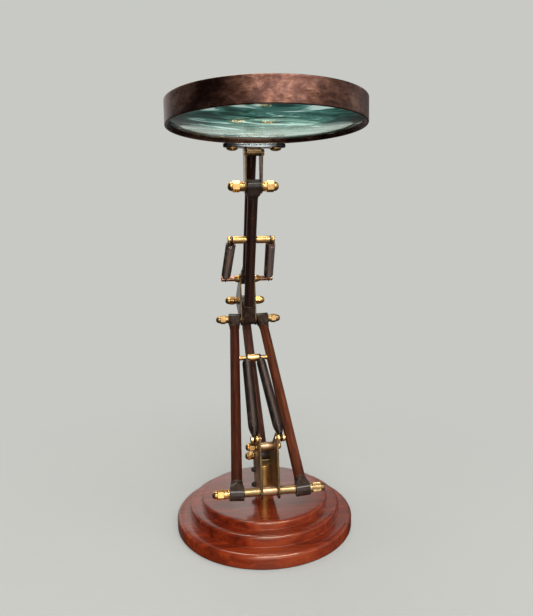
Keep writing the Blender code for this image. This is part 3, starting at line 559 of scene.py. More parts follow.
def nut(name, body, at, x, way, nodes, base_r=5.9, base_len=6.0, flats=12.4, hex_len=7.6, dome_len=5.4, shank=None, mat=None, spin=0.2):
    """An acorn nut, or an axle with a fixed acorn head when shank is (x_end, radius)."""
    back = None
    if shank:
        x_end, r = shank
        far = (x_end - x) * way
        back = [(far, r - 0.6), (far + 0.6, r), (-0.01, r)]
    bm = acorn(0.0, base_r, base_len, flats, hex_len, dome_len, back=back)
    local = shaft_frame(Vector((x, at.y, at.z)), way) @ Matrix.Rotation(spin, 4, "Z")
    return piece(name, bm, body, mat or BRASS, nodes, local, 28)


def rounded_section(w, h, r, n=8):
    r = max(0.02, min(r, w * 0.999, h * 0.999))
    pts = []
    for qx, qy, a0 in ((1, 1, 0), (-1, 1, 90), (-1, -1, 180), (1, -1, 270)):
        for k in range(n):
            a = math.radians(a0 + 90 * k / (n - 1))
            pts.append((qx * (w - r) + r * math.cos(a), qy * (h - r) + r * math.sin(a)))
    return pts


def ferrule(name, body, at, direction, eye_r, half, length, rod_r, mat, nodes, block=6.0, lip=0.7):
    """Half-round eye across the shaft, a short block, then a smooth run down to a round mouth just wider than the rod."""
    st = []
    for k in range(1, 15):
        a = math.pi / 2 * k / 14
        hgt = eye_r * math.sin(a)
        st.append((-eye_r * math.cos(a), half, hgt, min(0.9, hgt * 0.85)))
    tip = rod_r + lip
    for q in (0.3, 0.6, 0.85, 1.0):
        st.append((block * q, half - 0.12 * q, eye_r - 0.15 * q, 0.9 + 0.9 * q))
    w0, h0, rc0 = st[-1][1:]
    for i in range(1, 13):
        q = i / 12
        k = q * q * (3 - 2 * q)
        w, h = w0 + (tip - w0) * k, h0 + (tip - h0) * k
        st.append((block + (length - 0.9 - block) * q, w, h, rc0 + (min(w, h) - rc0) * min(1.0, k * 1.2)))
    st.append((length - 0.25, tip, tip, tip))
    st.append((length, tip - 0.3, tip - 0.3, tip))
    rings = [[Vector((x, y, s)) for x, y in rounded_section(w, h, r)] for s, w, h, r in st]
    local = frame_of(direction, X, at)
    return piece(name, loft(rings), body, mat, nodes, local, 34)


def rod(name, body, a, b, r, start, mat, nodes):
    """A turned rod, barely uneven along its length."""
    u = (b - a).normalized()
    length = (b - a).length - 2 * start
    n = 40
    prof = [(0.0, 0.0), (0.0, r - 0.3), (0.3, r)]
    for k in range(1, n):
        z = length * k / n
        prof.append((z, r + 0.045 * math.sin(z * 0.07 + r) + 0.02 * math.sin(z * 0.31)))
    prof += [(length - 0.3, r), (length, r - 0.3), (length, 0.0)]
    return piece(name, lathe(prof, 56), body, mat, nodes, frame_of(u, X, a + u * start))


def tangent_hull(circles, steps=16, grow=0.0):
    pts = []
    for c, r in circles:
        r += grow
        for i in range(4 * steps):
            t = 2 * math.pi * i / (4 * steps)
            pts.append((round(c.y + r * math.cos(t), 5), round(c.z + r * math.sin(t), 5)))
    pts = sorted(set(pts))

    def half(seq):
        out = []
        for p in seq:
            while len(out) > 1 and (out[-1][0] - out[-2][0]) * (p[1] - out[-2][1]) - (out[-1][1] - out[-2][1]) * (p[0] - out[-2][0]) <= 1e-6:
                out.pop()
            out.append(p)
        return out[:-1]

    return half(pts) + half(pts[::-1])


def slab(circles, x0, x1):
    bm = bmesh.new()
    f = bm.faces.new([bm.verts.new((x0, y, z)) for y, z in tangent_hull(circles)])
    top = bmesh.ops.extrude_face_region(bm, geom=[f])
    bmesh.ops.translate(bm, verts=[g for g in top["geom"] if isinstance(g, bmesh.types.BMVert)], vec=(x1 - x0, 0, 0))
    bmesh.ops.recalc_face_normals(bm, faces=bm.faces)
    return bm


def cyl_x(r, x0, x1, at, n=48):
    return moved(lathe([(x0, 0), (x0, r), (x1, r), (x1, 0)], n), shaft_frame(Vector((0, at.y, at.z))))


def cyl(r, a, b, n=48):
    length = (b - a).length
    return moved(lathe([(0, 0), (0, r), (length, r), (length, 0)], n), frame_of(b - a, X, a))


def box(x0, x1, y0, y1, z0, z1):
    return loft([[Vector((x, y, z)) for x, y in ((x0, y0), (x1, y0), (x1, y1), (x0, y1))] for z in (z0, z1)])


def plate(name, body, side, hulls, holes, mat):
    x0, x1 = (PLATE_IN, PLATE_OUT) if side > 0 else (-PLATE_OUT, -PLATE_IN)
    steps = [("UNION", slab(h, x0, x1)) for h in hulls[1:]] + [("DIFFERENCE", cyl_x(r, x0 - 3, x1 + 3, at)) for at, r in holes]
    bm = solve(slab(hulls[0], x0, x1), steps, 0.32, 2, 40)
    o = piece(name, bm, body, mat, name, sharp=35, mats=[mat, BRASS_RIM])
    for poly in o.data.polygons:
        if abs(poly.normal.x) < 0.8:
            poly.material_index = 1
    return o


def tube(path, radius, sides=8):
    """A wire swept along a list of points, with parallel transport."""
    bm = bmesh.new()
    tangents = []
    for i in range(len(path)):
        a, b = path[max(0, i - 1)], path[min(len(path) - 1, i + 1)]
        tangents.append((b - a).normalized())
    normal = tangents[0].orthogonal().normalized()
    rings = []
    for i, p in enumerate(path):
        t = tangents[i]
        normal = (normal - t * normal.dot(t)).normalized()
        side = t.cross(normal)
        rings.append([bm.verts.new(p + (normal * math.cos(2 * math.pi * k / sides) + side * math.sin(2 * math.pi * k / sides)) * radius) for k in range(sides)])
    for a, b in zip(rings, rings[1:]):
        for k in range(sides):
            bm.faces.new((a[k], a[(k + 1) % sides], b[(k + 1) % sides], b[k]))
    bm.faces.new(rings[0])
    bm.faces.new(list(reversed(rings[-1])))
    bmesh.ops.recalc_face_normals(bm, faces=bm.faces)
    return bm


def hermite(p0, t0, p1, t1, n):
    out = []
    for i in range(1, n):
        t = i / n
        a, b = 2 * t ** 3 - 3 * t ** 2 + 1, t ** 3 - 2 * t ** 2 + t
        c, d = -2 * t ** 3 + 3 * t ** 2, t ** 3 - t ** 2
        out.append(p0 * a + t0 * b + p1 * c + t1 * d)
    return out


def spring(name, low, high, r, wire, low_major, high_major, low_taper, high_taper, node, hand=1):
    """A close-wound extension spring with drawn-in ends and a wire eye on each pin."""
    u = (high - low).normalized()
    m = frame_of(u).to_3x3()
    length = (high - low).length
    pitch = wire * 2.04
    s0, s1 = low_major + wire * 1.9, length - high_major - wire * 1.9
    turns = round((s1 - s0) / pitch)
    per = 22
    n = turns * per
    coil = []
    for i in range(n + 1):
        s = s0 + (s1 - s0) * i / n
        k = 1.0
        if s - s0 < low_taper:
            q = (s - s0) / low_taper
            k = min(k, 0.30 + 0.70 * (1 - (1 - q) ** 1.7))
        if s1 - s < high_taper:
            q = (s1 - s) / high_taper
            k = min(k, 0.42 + 0.58 * math.sqrt(max(0.0, 1 - (1 - q) ** 2)))
        a = hand * 2 * math.pi * i / per
        coil.append(low + m @ Vector(((r - wire) * k * math.cos(a), (r - wire) * k * math.sin(a), s)))
    v = X.cross(u)

    def eye(at, major, way):
        """Points once round the pin, ending where the wire leaves towards the coil."""
        out = []
        for i in range(25):
            a = math.radians(-160 + 320 * i / 24)
            out.append(at + (-u * way * math.cos(a) + v * math.sin(a)) * (major - 0.15) + X * (wire * 0.5 * (i / 24 - 0.5)))
        return out

    first = eye(low, low_major, 1)
    last = list(reversed(eye(high, high_major, -1)))
    t1 = (first[-1] - first[-2]).normalized() * 3
    t2 = (coil[1] - coil[0]).normalized() * 3
    path = first + hermite(first[-1], t1, coil[0], t2, 8) + coil
    t3 = (coil[-1] - coil[-2]).normalized() * 3
    t4 = (last[1] - last[0]).normalized() * 3
    path += hermite(coil[-1], t3, last[0], t4, 8) + last
    bm = tube(path, wire)
    o = piece(name, bm, None, SPRING if "upper" in name else SPRING_DARKER, node, sharp=60)
    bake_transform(o)
    return o


def at_x(v, x):
    return Vector((x, v.y, v.z))


SIDES = (("left", -1), ("right", 1))

# ---------------------------------------------------------------- base
lo, hi = (v * 1000 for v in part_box("plinth"))
R3, Z3 = hi.x, hi.z
R2, R1, Z1, Z2 = R3 * 0.85, R3 * 0.7164, Z3 * 0.4352, Z3 * 0.772
outline = [(0, 0), (0, R3 - 1.2), (1.4, R3 - 0.2), (Z1 - 0.001, R3), (Z1, R2 + 1.0), (Z1 + 0.6, R2), (Z2, R2), (Z2, R1 + 0.8), (Z2 + 0.5, R1), (Z3, R1), (Z3, 5.8), (6.0, 5.8), (6.0, 0)]
radii = [0, 0.8, 0.8, 4.6, 0.5, 0.4, 3.4, 0.5, 0.4, 2.6, 0.5, 0, 0]
prof = []
pts = fillet(outline, radii, 8)
for i, p in enumerate(pts):
    q = pts[(i + 1) % len(pts)]
    prof.append(p)
    d = math.hypot(q[0] - p[0], q[1] - p[1])
    if d > 6 and p[1] > 6 and q[1] > 6:
        for k in range(1, int(d / 4)):
            t = k / int(d / 4)
            prof.append((p[0] + (q[0] - p[0]) * t, p[1] + (q[1] - p[1]) * t))
piece("plinth_turned", lathe(prof, 200), "base", PLINTH, "plinth")
turned("spindle", "base", [(6.4, 0), (6.4, 5.2), (Z3 + 0.3, 5.2), (Z3 + 0.3, 12.4), (Z3 + 1.2, 12.4), (Z3 + 1.7, 11.2), (Z3 + 1.7, 5.0), (70.8, 5.0), (71.5, 4.2), (71.5, 0)], Vector(), BRASS_AGED, "pivot_spindle", "Z", 0.25, 96)

# ---------------------------------------------------------------- swivel
BZ0, BZ1 = Z3 + 2.0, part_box("swivel_barrel")[1].z * 1000
body_bm = lathe(fillet([(BZ0, 5.2), (BZ0, 8.7), (BZ1, 8.7), (BZ1, 0), (72.2, 0), (72.2, 5.2)], [0.2, 0.5, 0.6, 0, 0, 0.2], 4), 128)
boss = box(-8.85, 8.85, 6.0, 15.0, 65.0, BZ1 - 0.25)
SCREWS = [centre("cheek_screw_" + k) for k in ("lower", "upper")]
for i, s in enumerate(SCREWS):
    SCREWS[i] = Vector((0, s.y, s.z))
cuts = [("DIFFERENCE", cyl_x(1.7, -12.0, -4.2, s, 32)) for s in SCREWS]
bm = solve(body_bm, [("UNION", boss)] + cuts, 0.2, 2, 38)
piece("barrel", bm, "swivel", BRASS_POST, "swivel_barrel", sharp=35)

for nm, s in zip(("lower", "upper"), SCREWS):
    prof = [(5.4, 0), (5.4, 1.5), (PLATE_OUT + 0.25, 1.5), (PLATE_OUT + 0.25, 3.4), (PLATE_OUT + 1.6, 3.4), (PLATE_OUT + 5.0, 2.3), (PLATE_OUT + 5.0, 0)]
    bm = lathe(fillet(prof, [0, 0.2, 0, 0.3, 1.2, 1.0, 0], 5), 64)
    hexa = lathe([(14.4, 0), (14.4, 1.25), (18, 1.25), (18, 0)], 6)
    bm = solve(bm, [("DIFFERENCE", hexa)], 0.08, 2, 40)
    piece("button_screw_" + nm, bm, "swivel", SCREW_BLACK, "cheek_screw_" + nm, shaft_frame(s, -1), 25)

F = Vector((0, 1.0, 54.0))
for sn, sx in SIDES:
    holes = [(D, 4.2), (B, 3.2), (A, 3.2), (C, 2.6)] + [(s, 1.7) for s in SCREWS if sx < 0]
    plate("cheek_" + sn, "swivel", sx, [[(D, 9.4), (C, 6.6), (A, 7.4), (F, 8.2)], [(A, 7.4), (B, 7.8), (F, 8.2)]], holes, BRASS_CHEEK).name = "side_cheek_" + sn

nut("axle_base", "swivel", D, -48.2, -1, "base_axle", base_r=5.6, flats=10.6, base_len=6.2, hex_len=7.8, dome_len=6.0, shank=(62.6, 4.0), spin=math.pi / 6 + 0.35)
# thumb nut: knurled sleeve with plain collars
rings, n = [], 144
prof = [(0.0, 4.6, 0), (0.0, 5.0, 0), (0.3, 5.3, 0), (2.2, 5.3, 0), (2.5, 5.0, 0), (2.9, 5.0, 0), (3.2, 5.6, 0), (3.5, 5.85, 0.26), (13.0, 5.85, 0.26), (13.3, 5.6, 0), (13.7, 5.1, 0), (14.4, 5.05, 0), (14.8, 4.95, 0), (16.2, 4.8, 0), (17.3, 4.3, 0), (17.9, 3.5, 0), (18.0, 2.2, 0)]
for z, r, k in prof:
    rings.append([Vector(((r - k * (i // 2 % 2)) * math.cos(2 * math.pi * i / n), (r - k * (i // 2 % 2)) * math.sin(2 * math.pi * i / n), z)) for i in range(n)])
piece("thumb_nut", loft(rings), "thumb_nut", BRASS_OLD, "base_axle_thumb_nut", shaft_frame(at_x(D, 48.2)), 25)
for sn, sx in SIDES:
    length = 30.5 - PLATE_OUT - 0.3
    turned("spacer_tube_" + sn, "swivel", [(0, 4.3), (0, 5.3), (1.3, 5.3), (1.5, 5.1), (length - 1.5, 5.1), (length - 1.3, 5.3), (length, 5.3), (length, 4.3)], at_x(D, sx * (PLATE_OUT + 0.3)), BRASS_OLD, "base_spacer_" + sn, way=sx, radius=0.25)
turned("centre_bush", "swivel", [(-9.0, 4.3), (-9.0, 5.8), (9.0, 5.8), (9.0, 4.3)], D, BRONZE, "base_spacer_centre", radius=0.5)


def small_bolt(name, node, at, shoulder, end=-21.2, more=0.0):
    x = PLATE_OUT
    prof = [(end, 0), (end, 3.0), (-9.0, 3.0)]
    if shoulder > 3:
        prof += [(-9.0, shoulder), (9.0, shoulder), (9.0, 3.0)]
    prof += [(x + 0.3, 3.0), (x + 0.3, 5.2), (x + 1.3, 5.2), (x + 1.3, 3.9), (x + 2.2, 3.9), (x + 2.2, 4.4), (x + 5.4 + more, 4.3), (x + 7.2 + more, 2.6), (x + 7.3 + more, 0)]
    rad = [0] + [0.3] * (len(prof) - 3) + [1.4, 0]
    bm = lathe(fillet(prof, rad, 4), 72)
    piece(name, bm, "swivel", BRASS, node, shaft_frame(at), 30)


small_bolt("bolt_stay", "stay_bolt", A, 4.5)
small_bolt("bolt_link", "link_bolt", B, 3.0, -18.4, 3.0)
turned("stay_sleeve", "swivel", [(-8.9, 4.6), (-8.9, 5.1), (8.9, 5.1), (8.9, 4.6)], A, BRONZE, "stay_bolt", radius=0.2)
for nm, at, hex_len, dome_len in (("stay_bolt_nut", A, 6.8, 4.2), ("link_bolt_nut", B, 4.8, 3.2)):
    nut("nut_" + nm[:4], "swivel", at, -PLATE_OUT - 0.3, -1, nm, base_r=4.9, base_len=2.6, flats=9.4, hex_len=hex_len, dome_len=dome_len, spin=math.pi / 6 + 0.05)
for sn, sx in SIDES:
    prof = [(8.2, 0), (8.2, 2.4), (PLATE_OUT + 0.3, 2.4), (PLATE_OUT + 0.3, 4.3), (14.1, 4.3), (14.6, 2.75), (17.0, 2.75), (17.5, 4.2), (20.2, 4.2), (20.9, 3.0), (20.9, 0)]
    turned("spool_" + sn, "swivel", [(z, r) for z, r in prof], C, BRASS, "spring_spool_" + sn, way=sx, radius=0.35)

# ---------------------------------------------------------------- lower arm
for sn, sx in SIDES:
    foot, top = at_x(D, sx * LEG_X0), at_x(E1, sx * LEG_X1)
    u = top - foot
    rod("leg_rod_" + sn, "lower_arm", foot, top, LEG_R, 8.6, LEG if sx < 0 else LEG_WARM, "leg_" + sn)
    ferrule("ferrule_leg_foot_" + sn, "lower_arm", foot, u, 8.6, 8.6, 13.8, LEG_R, BLACK, "leg_foot_" + sn, 3.0)
    ferrule("ferrule_leg_top_" + sn, "lower_arm", top, -u, 8.2, 8.6, 16.5, LEG_R, BLACK, "leg_top_" + sn, 4.0)
prof = [(-24.2, 0), (-24.2, 3.2), (-8.0, 3.2), (-8.0, 5.3), (8.0, 5.3), (8.0, 3.2), (24.2, 3.2), (24.2, 0)]
turned("cross_pin", "lower_arm", prof, P, BRASS_DULL, "lower_spring_pin", radius=0.35)

# ---------------------------------------------------------------- lower link
rod("link_rod", "lower_link", B, E2, LINK_R, 7.6, LINK, "lower_link_rod")
ferrule("ferrule_link_foot", "lower_link", B, E2 - B, 6.0, EYE_HALF, 13.5, LINK_R, BLACK, "lower_link_foot", 4.0)
ferrule("ferrule_link_top", "lower_link", E2, B - E2, 7.6, EYE_HALF, 17.0, LINK_R, BLACK, "lower_link_top", 5.0)

# ---------------------------------------------------------------- elbow
for sn, sx in SIDES:
    plate("elbow_plate_" + sn, "elbow", sx, [[(E1, 9.2), (E2, 7.6), (E3, 7.2)]], [(E1, 4.2), (E2, 3.2), (E3, 4.4)], BRASS_DARK).name = "elbow_side_" + sn
nut("axle_elbow", "elbow", E1, -29.1, -1, "elbow_axle", mat=BRASS_NUT, base_r=5.6, base_len=4.4, flats=11.2, hex_len=7.2, dome_len=6.6, shank=(41.2, 4.0), spin=math.pi / 6 + 0.1)
nut("nut_elbow", "elbow", E1, 29.1, 1, "elbow_axle_nut", mat=BRASS_NUT, base_r=5.6, base_len=4.4, flats=11.2, hex_len=7.2, dome_len=6.6, spin=math.pi / 6 - 0.1)
nut("bolt_elbow_link", "elbow", E2, -PLATE_OUT - 0.3, -1, "elbow_link_bolt", mat=BRASS_WARM, base_r=5.7, base_len=3.0, hex_len=6.6, dome_len=7.4, shank=(21.8, 3.0), spin=0.05)
nut("nut_elbow_link", "elbow", E2, PLATE_OUT + 0.3, 1, "elbow_link_nut", mat=BRASS_WARM, base_r=5.7, base_len=4.0, hex_len=11.0, dome_len=6.4, spin=0.0)
half_prof = [(0, 4.2), (8.9, 4.2), (8.9, 4.15), (PLATE_OUT + 0.2, 4.15), (PLATE_OUT + 0.3, 5.65), (13.4, 5.65), (18.4, 4.0), (18.6, 3.65), (29.8, 3.65), (30.1, 2.9), (32.9, 2.9), (33.2, 3.7), (37.0, 3.7), (37.8, 2.9), (37.8, 0)]
full = [(-x, r) for x, r in reversed(half_prof[1:])] + half_prof
bm = lathe(fillet(full, 0.25, 3), 72)
o = piece("axle_upper_springs", bm, "elbow", COPPER_ROD, "upper_spring_axle", shaft_frame(E3), mats=[COPPER_ROD, BRASS_DULL])
for poly in o.data.polygons:
    c = poly.center
    if 0.0114 < abs(c.z) < 0.0185:
        poly.material_index = 1

# ---------------------------------------------------------------- upper arm and link
rod("bar_front", "upper_arm", E1, H1, ARM_R, 8.6, BAR, "upper_arm_rod")
ferrule("ferrule_bar_foot", "upper_arm", E1, H1 - E1, 8.2, EYE_HALF, 24.0, ARM_R, BLACK, "upper_arm_foot", 9.0)
ferrule("ferrule_bar_top", "upper_arm", H1, E1 - H1, 9.0, EYE_HALF, 15.5, ARM_R, BLACK, "upper_arm_top", 8.5, 0.5)
tip = [(ARM_R + 0.3, 3.0), (ARM_R + 0.3, 5.1), (24.9, 5.1), (25.4, 4.0), (28.0, 4.0), (28.5, 5.1), (31.2, 5.1), (31.8, 4.2), (31.8, 0)]
full = [(-x, r) for x, r in reversed(tip)] + tip
bm = lathe(fillet(full, 0.35, 3), 72)
piece("spring_bar", bm, "upper_arm", BRASS_DULL, "upper_spring_bar", shaft_frame(G))
rod("bar_rear", "upper_link", E3, H2, ARM_R, 8.8, BAR, "upper_link_rod")
ferrule("ferrule_rear_foot", "upper_link", E3, H2 - E3, 8.0, EYE_HALF, 18.0, ARM_R, BLACK, "upper_link_foot", 8.0)
ferrule("ferrule_rear_top", "upper_link", H2, E3 - H2, 7.6, EYE_HALF, 20.0, ARM_R, BLACK, "upper_link_top", 9.0)

# ---------------------------------------------------------------- head
for sn, sx in SIDES:
    plate("head_plate_" + sn, "head", sx, [[(H1, 9.2), (H2, 7.0)], [(H1, 8.0), (T, 4.4)]], [(H1, 4.2), (H2, 4.2), (T, 3.2)], BRASS_DARK).name = "head_side_" + sn
nut("axle_head", "head", H1, -PLATE_OUT - 0.3, -1, "head_axle", flats=13.0, base_r=6.6, hex_len=9.0, dome_len=6.6, shank=(24.0, 4.0), spin=math.pi / 6 - 0.05)
nut("nut_head", "head", H1, PLATE_OUT + 0.3, 1, "head_axle_nut", flats=13.0, base_r=6.6, hex_len=9.0, dome_len=6.6, spin=math.pi / 6 + 0.12)
nut("bolt_head_link", "head", H2, -PLATE_OUT - 0.3, -1, "head_link_bolt", base_len=4.0, shank=(21.8, 4.0))
nut("nut_head_link", "head", H2, PLATE_OUT + 0.3, 1, "head_link_nut", base_len=4.0, spin=0.6)
tip = [(PLATE_OUT + 0.3, 3.0), (PLATE_OUT + 0.3, 4.0), (12.6, 4.0), (13.1, 3.0), (13.1, 0)]
turned("pin_tilt", "head", [(-x, r) for x, r in reversed(tip)] + tip, T, BRASS, "tilt_pin", radius=0.3)

# ---------------------------------------------------------------- lens
z0, z1 = 0.0, RING_H
ri = RING_R - 2.2
SEAT = 3.4
outer = [(z0, ri - 0.6), (z0, RING_R), (z1, RING_R), (z1, ri), (SEAT + 1.6, ri), (SEAT + 1.6, ri - 2.2), (SEAT - 0.4, ri - 2.2), (SEAT - 1.2, ri - 0.6)]
prof = fillet(outer, [0.7, 0.9, 0.9, 0.6, 0.2, 0.3, 0.5, 0.5], 5)
dense = []
for i, p in enumerate(prof):
    q = prof[(i + 1) % len(prof)]
    dense.append(p)
    d = math.hypot(q[0] - p[0], q[1] - p[1])
    for k in range(1, int(d / 1.6)):
        t = k / int(d / 1.6)
        dense.append((p[0] + (q[0] - p[0]) * t, p[1] + (q[1] - p[1]) * t))
ring_bm = lathe(dense, 256)
BOSS_Y = 104.4 + 2.4
tools = []
for sx in (-1, 1):
    at = Vector((sx * 27.4, BOSS_Y, 0))
    tools.append(("UNION", solve(cyl(5.2, at + Vector((0, 0, 0.6)), at + Vector((0, 0, 13))), [], 0.9, 3)))
LENS_AT = LENS @ Matrix.Translation(RING)
piece("frame_ring", solve(ring_bm, tools), "lens", COPPER, "lens_ring", LENS_AT, 35)


def dome(r, sag, level, way, steps=36):
    big = (r * r + sag * sag) / (2 * sag)
    return [(level + way * (math.sqrt(big * big - (r * (1 - i / steps)) ** 2) - (big - sag)), r * (1 - i / steps)) for i in range(steps + 1)]


LR, EDGE, SAG = ri - 0.4, 4.0, 7.5
low = dome(LR, SAG, SEAT + 1.9, -1)
up = dome(LR, SAG, SEAT + 1.9 + EDGE, 1)
piece("lens", lathe(list(reversed(low)) + up, 192), "lens", GLASS, "lens_glass", LENS_AT, 40)
rz = SEAT + 1.9 + EDGE + 0.5
piece("retaining_ring", lathe(fillet([(rz, ri - 2.6), (rz, ri - 0.3), (rz + 2.6, ri - 0.3), (rz + 2.6, ri - 2.2)], 0.5, 3), 192), "lens", COPPER, "lens_retaining_ring", LENS_AT, 35)

S0, S1 = -4.8, -0.4
arc_in, arc_out, ha = 99.5, 113.5, math.radians(17.5)
pts = []
for k in range(33):
    t = -ha + 2 * ha * k / 32
    pts.append((arc_out * math.sin(t), arc_out * math.cos(t)))
mid = (arc_in + arc_out) / 2
for sgn in (1, -1):
    cx, cy = mid * math.sin(sgn * ha), mid * math.cos(ha)
    first = math.pi / 2 - ha if sgn == 1 else math.pi / 2 + ha + math.pi
    for k in range(1, 16):
        a = first - math.pi * k / 16
        pts.append((cx + 7.0 * math.cos(a), cy + 7.0 * math.sin(a)))
    if sgn == 1:
        for j in range(33):
            t = ha - 2 * ha * j / 32
            pts.append((arc_in * math.sin(t), arc_in * math.cos(t)))
bm = bmesh.new()
f = bm.faces.new([bm.verts.new((x, y, S0)) for x, y in pts])
g = bmesh.ops.extrude_face_region(bm, geom=[f])
bmesh.ops.translate(bm, verts=[v for v in g["geom"] if isinstance(v, bmesh.types.BMVert)], vec=(0, 0, S1 - S0))
bmesh.ops.recalc_face_normals(bm, faces=bm.faces)
bm = solve(bm, [], 0.9, 3, 40)
piece("saddle_bar", bm, "lens", SADDLE, "lens_saddle", LENS_AT, 35)
for sn, sx in SIDES:
    at = RING + Vector((sx * 27.4, BOSS_Y, 0))
    prof = [(S0 - 3.5, 0)]
    for k in range(1, 11):
        a = math.pi / 2 * k / 10
        prof.append((S0 - 0.6 - 2.9 * math.cos(a), 7.3 * math.sin(a)))
    prof += [(S0 - 0.3, 7.3), (S0 - 0.3, 2.2), (8.0, 2.2), (8.0, 0)]
    bm = lathe(prof, 96)
    slot_cut = box(-0.7, 0.7, -9, 9, S0 - 6, S0 - 2.5)
    bm = solve(bm, [("DIFFERENCE", slot_cut)])
    piece("dome_screw_" + sn, bm, "lens", BRASS_DULL, "lens_saddle_screw_" + sn, LENS @ Matrix.Translation(at) @ Matrix.Rotation(0.5 * sx, 4, "Z"), 30)
S0w = S0 + RING.z
bm = solve(cyl_x(4.4, -9.0, 9.0, T, 64), [("UNION", box(-9.0, 9.0, T.y - 5.6, T.y + 4.3, T.z + 0.6, S0w - 0.3)), ("DIFFERENCE", cyl_x(3.2, -12, 12, T))], 0.3, 2, 40)
piece("block_tilt", moved(bm, LENS), "lens", BRASS_DARK, "tilt_block", sharp=35)

# ---------------------------------------------------------------- springs
for sn, sx in SIDES:
    spring("coil_lower_" + sn, at_x(C, sx * SPOOL_X), at_x(P, sx * P_EYE_X), 6.5, 0.95, 3.9, 4.4, 17.0, 7.0, "lower_spring_" + sn, sx)
    spring("coil_upper_" + sn, at_x(E3, sx * E3_EYE_X), at_x(G, sx * G_EYE_X), 6.9, 0.85, 4.2, 5.0, 3.2, 3.2, "upper_spring_" + sn, sx)

# ---------------------------------------------------------------- stage, light, camera
def studio_world():
    """Even pale backdrop for the camera; for light and reflections, a soft front wall, dark sides, a pale back wall with bright streaks above."""
    w = bpy.data.worlds.new("studio")
    bpy.context.scene.world = w
    w.use_nodes = True
    t = w.node_tree
    t.nodes.clear()

    def node(kind, out=0, props=None, **inputs):
        n = t.nodes.new(kind)
        for k, v in (props or {}).items():
            setattr(n, k, v)
        for k, v in inputs.items():
            s = n.inputs[int(k[1:])] if k[0] == "i" and k[1:].isdigit() else n.inputs[k.replace("_", " ")]
            if isinstance(v, bpy.types.NodeSocket):
                t.links.new(v, s)
            else:
                s.default_value = v
        return n.outputs[out]

    def maths(op, a, b=0.0, clamp=False):
        return node("ShaderNodeMath", 0, {"operation": op, "use_clamp": clamp}, i0=a, i1=b)

    def steps(fac, *stops):
        n = t.nodes.new("ShaderNodeValToRGB")
        n.color_ramp.interpolation = "EASE"
        while len(n.color_ramp.elements) < len(stops):
            n.color_ramp.elements.new(0.5)
        for e, (p, c) in zip(n.color_ramp.elements, stops):
            e.position = p
            e.color = (c, c, c, 1)
        t.links.new(fac, n.inputs[0])
        return n.outputs[0]

    way = node("ShaderNodeTexCoord")
    way = t.nodes[-1].outputs["Generated"]
    sep = t.nodes.new("ShaderNodeSeparateXYZ")
    t.links.new(way, sep.inputs[0])
    x, y, z = sep.outputs
    half = lambda v: maths("ADD", maths("MULTIPLY", v, 0.5), 0.5)
    # by bearing from the front (-Y), growing towards +X: a soft bright patch in front, dim right, dark left, pale behind
    bearing = maths("ADD", maths("DIVIDE", maths("ARCTAN2", x, maths("MULTIPLY", y, -1.0)), 2 * math.pi), 0.5)
    spot = lambda deg: 0.5 + deg / 360.0
    ring = steps(bearing, (0.0, 0.45), (spot(-150), 0.42), (spot(-128), 0.04), (spot(-90), 0.02), (spot(-62), 0.05), (spot(-34), 0.22), (spot(-16), 1.90), (spot(4), 2.20), (spot(22), 1.20), (spot(44), 0.80),
                 (spot(62), 0.55), (spot(100), 0.34), (spot(125), 0.08), (spot(150), 0.10), (1.0, 0.45))
    # by height: dark below, normal near the horizon, dim ceiling
    height = steps(half(z), (0.0, 0.12), (0.30, 0.15), (0.41, 0.45), (0.48, 0.95), (0.55, 1.0), (0.70, 0.9), (0.82, 0.55), (1.0, 0.5))
    base = maths("MULTIPLY", ring, height)
    # streaks behind, above the horizon
    m = node("ShaderNodeMapping", Vector=way, Rotation=(0.0, 0.22, 0.0), Scale=(2.2, 2.0, 8.0))
    band = node("ShaderNodeTexNoise", 0, None, Vector=m, Scale=1.0, Detail=4.0, Roughness=0.6, Distortion=1.2)
    streak = steps(band, (0.44, 0.10), (0.52, 0.45), (0.56, 1.0), (0.66, 0.8), (0.70, 0.2))
    where = maths("MULTIPLY", steps(half(y), (0.55, 0.0), (0.70, 1.0)), steps(half(z), (0.50, 0.0), (0.54, 0.26), (0.60, 0.32), (0.68, 1.1), (0.745, 1.2), (0.775, 0.12), (0.93, 0.05)))
    total = maths("ADD", base, maths("MULTIPLY", maths("MULTIPLY", streak, where), 0.9))
    lit = node("ShaderNodeBackground", 0, None, Color=total, Strength=1.0)
    seen = node("ShaderNodeBackground", 0, None, Color=(0.578, 0.584, 0.552, 1), Strength=1.0)
    ray = node("ShaderNodeLightPath")
    mix = node("ShaderNodeMixShader", 0, None, i0=ray, i1=lit, i2=seen)
    out = t.nodes.new("ShaderNodeOutputWorld")
    t.links.new(mix, out.inputs[0])


def area(name, at, to, w, h, power, colour=(1, 1, 1)):
    d = bpy.data.lights.new(name, "AREA")
    d.shape, d.size, d.size_y, d.energy, d.color = "RECTANGLE", w, h, power, colour
    o = bpy.data.objects.new(name, d)
    bpy.context.scene.collection.objects.link(o)
    o.location = at
    o.rotation_mode = "QUATERNION"
    o.rotation_quaternion = (Vector(to) - Vector(at)).to_track_quat("-Z", "Y")
    return o


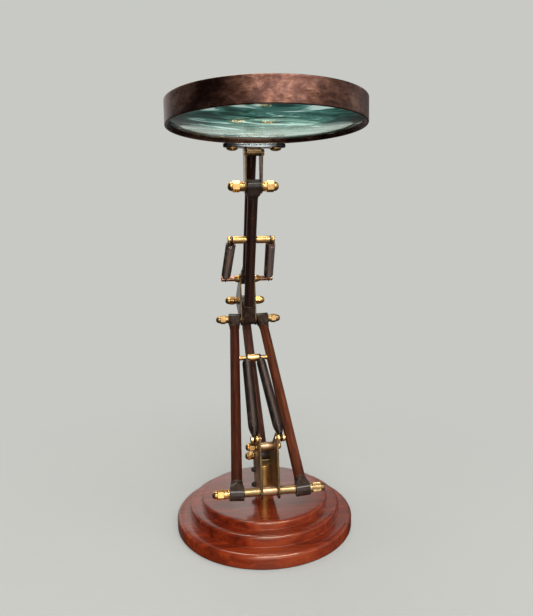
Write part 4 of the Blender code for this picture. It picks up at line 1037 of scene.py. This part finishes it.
FLOOR_A, FLOOR_B = (0.41, 0.413, 0.390), (0.416, 0.419, 0.396)
studio_world()
mid = Vector((0, 0, 0.25))
area("front", (0.22, -1.2, 1.35), mid, 1.3, 0.30, 24)
area("top", (-0.1, 0.35, 1.5), mid, 0.7, 0.7, 9.5, (1, 0.985, 0.96))
area("fill", (1.1, -0.7, 0.8), mid, 0.6, 0.9, 6, (1, 0.98, 0.95)).visible_glossy = False
area("fill_front", (-0.2, -1.3, 0.45), mid, 0.8, 0.8, 12, (1, 0.98, 0.95)).visible_glossy = False
area("fill_left", (-1.2, 0.2, 0.7), mid, 0.6, 0.9, 5, (1, 0.98, 0.95)).visible_glossy = False

# floor: a pale disc whose rim fades into the backdrop
floor = to_object("floor_disc", lathe([(-0.0004, 0.0), (-0.0004, 1.2), (-0.0014, 1.2), (-0.0014, 0.0)], 96))
fm = Mat("pale_floor", (0.6, 0.605, 0.575), 0.7)
fm.put("Base Color", fm.mix(fm.noise(fm.coords, 30, 3), FLOOR_A, FLOOR_B))
fm.put("Specular IOR Level", 0.0)
fm.put("Roughness", fm.ramp(fm.noise(fm.coords, 200, 3), (0.4, 0.8), (0.6, 0.9)))
r = fm.node("ShaderNodeVectorMath", 1, {"operation": "LENGTH"}, i0=fm.coords)
fm.put("Alpha", fm.node("ShaderNodeMapRange", 0, {"interpolation_type": "SMOOTHSTEP"}, Value=r, From_Min=0.06, From_Max=0.60, To_Min=0.36, To_Max=0.0))
floor.data.materials.append(fm.mat)
floor.visible_glossy = False
floor.visible_transmission = False

cam_data = bpy.data.cameras.new("camera")
cam_data.sensor_width = 36.0
cam_data.lens = 571.0 / 616.0 * 36.0
cam_data.clip_start, cam_data.clip_end = 0.05, 30
cam = bpy.data.objects.new("camera", cam_data)
bpy.context.scene.collection.objects.link(cam)
yaw, pitch, roll = math.radians(8.45), math.radians(8.11), math.radians(0.78)
fwd = Vector((math.sin(yaw) * math.cos(pitch), math.cos(yaw) * math.cos(pitch), -math.sin(pitch)))
right = Vector((math.cos(yaw), -math.sin(yaw), 0))
upv = right.cross(fwd)
r2 = right * math.cos(roll) - upv * math.sin(roll)
u2 = upv * math.cos(roll) + right * math.sin(roll)
rot = Matrix((r2, u2, -fwd)).transposed().to_4x4()
rot.translation = Vector((-0.0950, -0.6814, 0.3726))
cam.matrix_world = rot
bpy.context.scene.camera = cam
bpy.context.scene.view_settings.view_transform = "Standard"
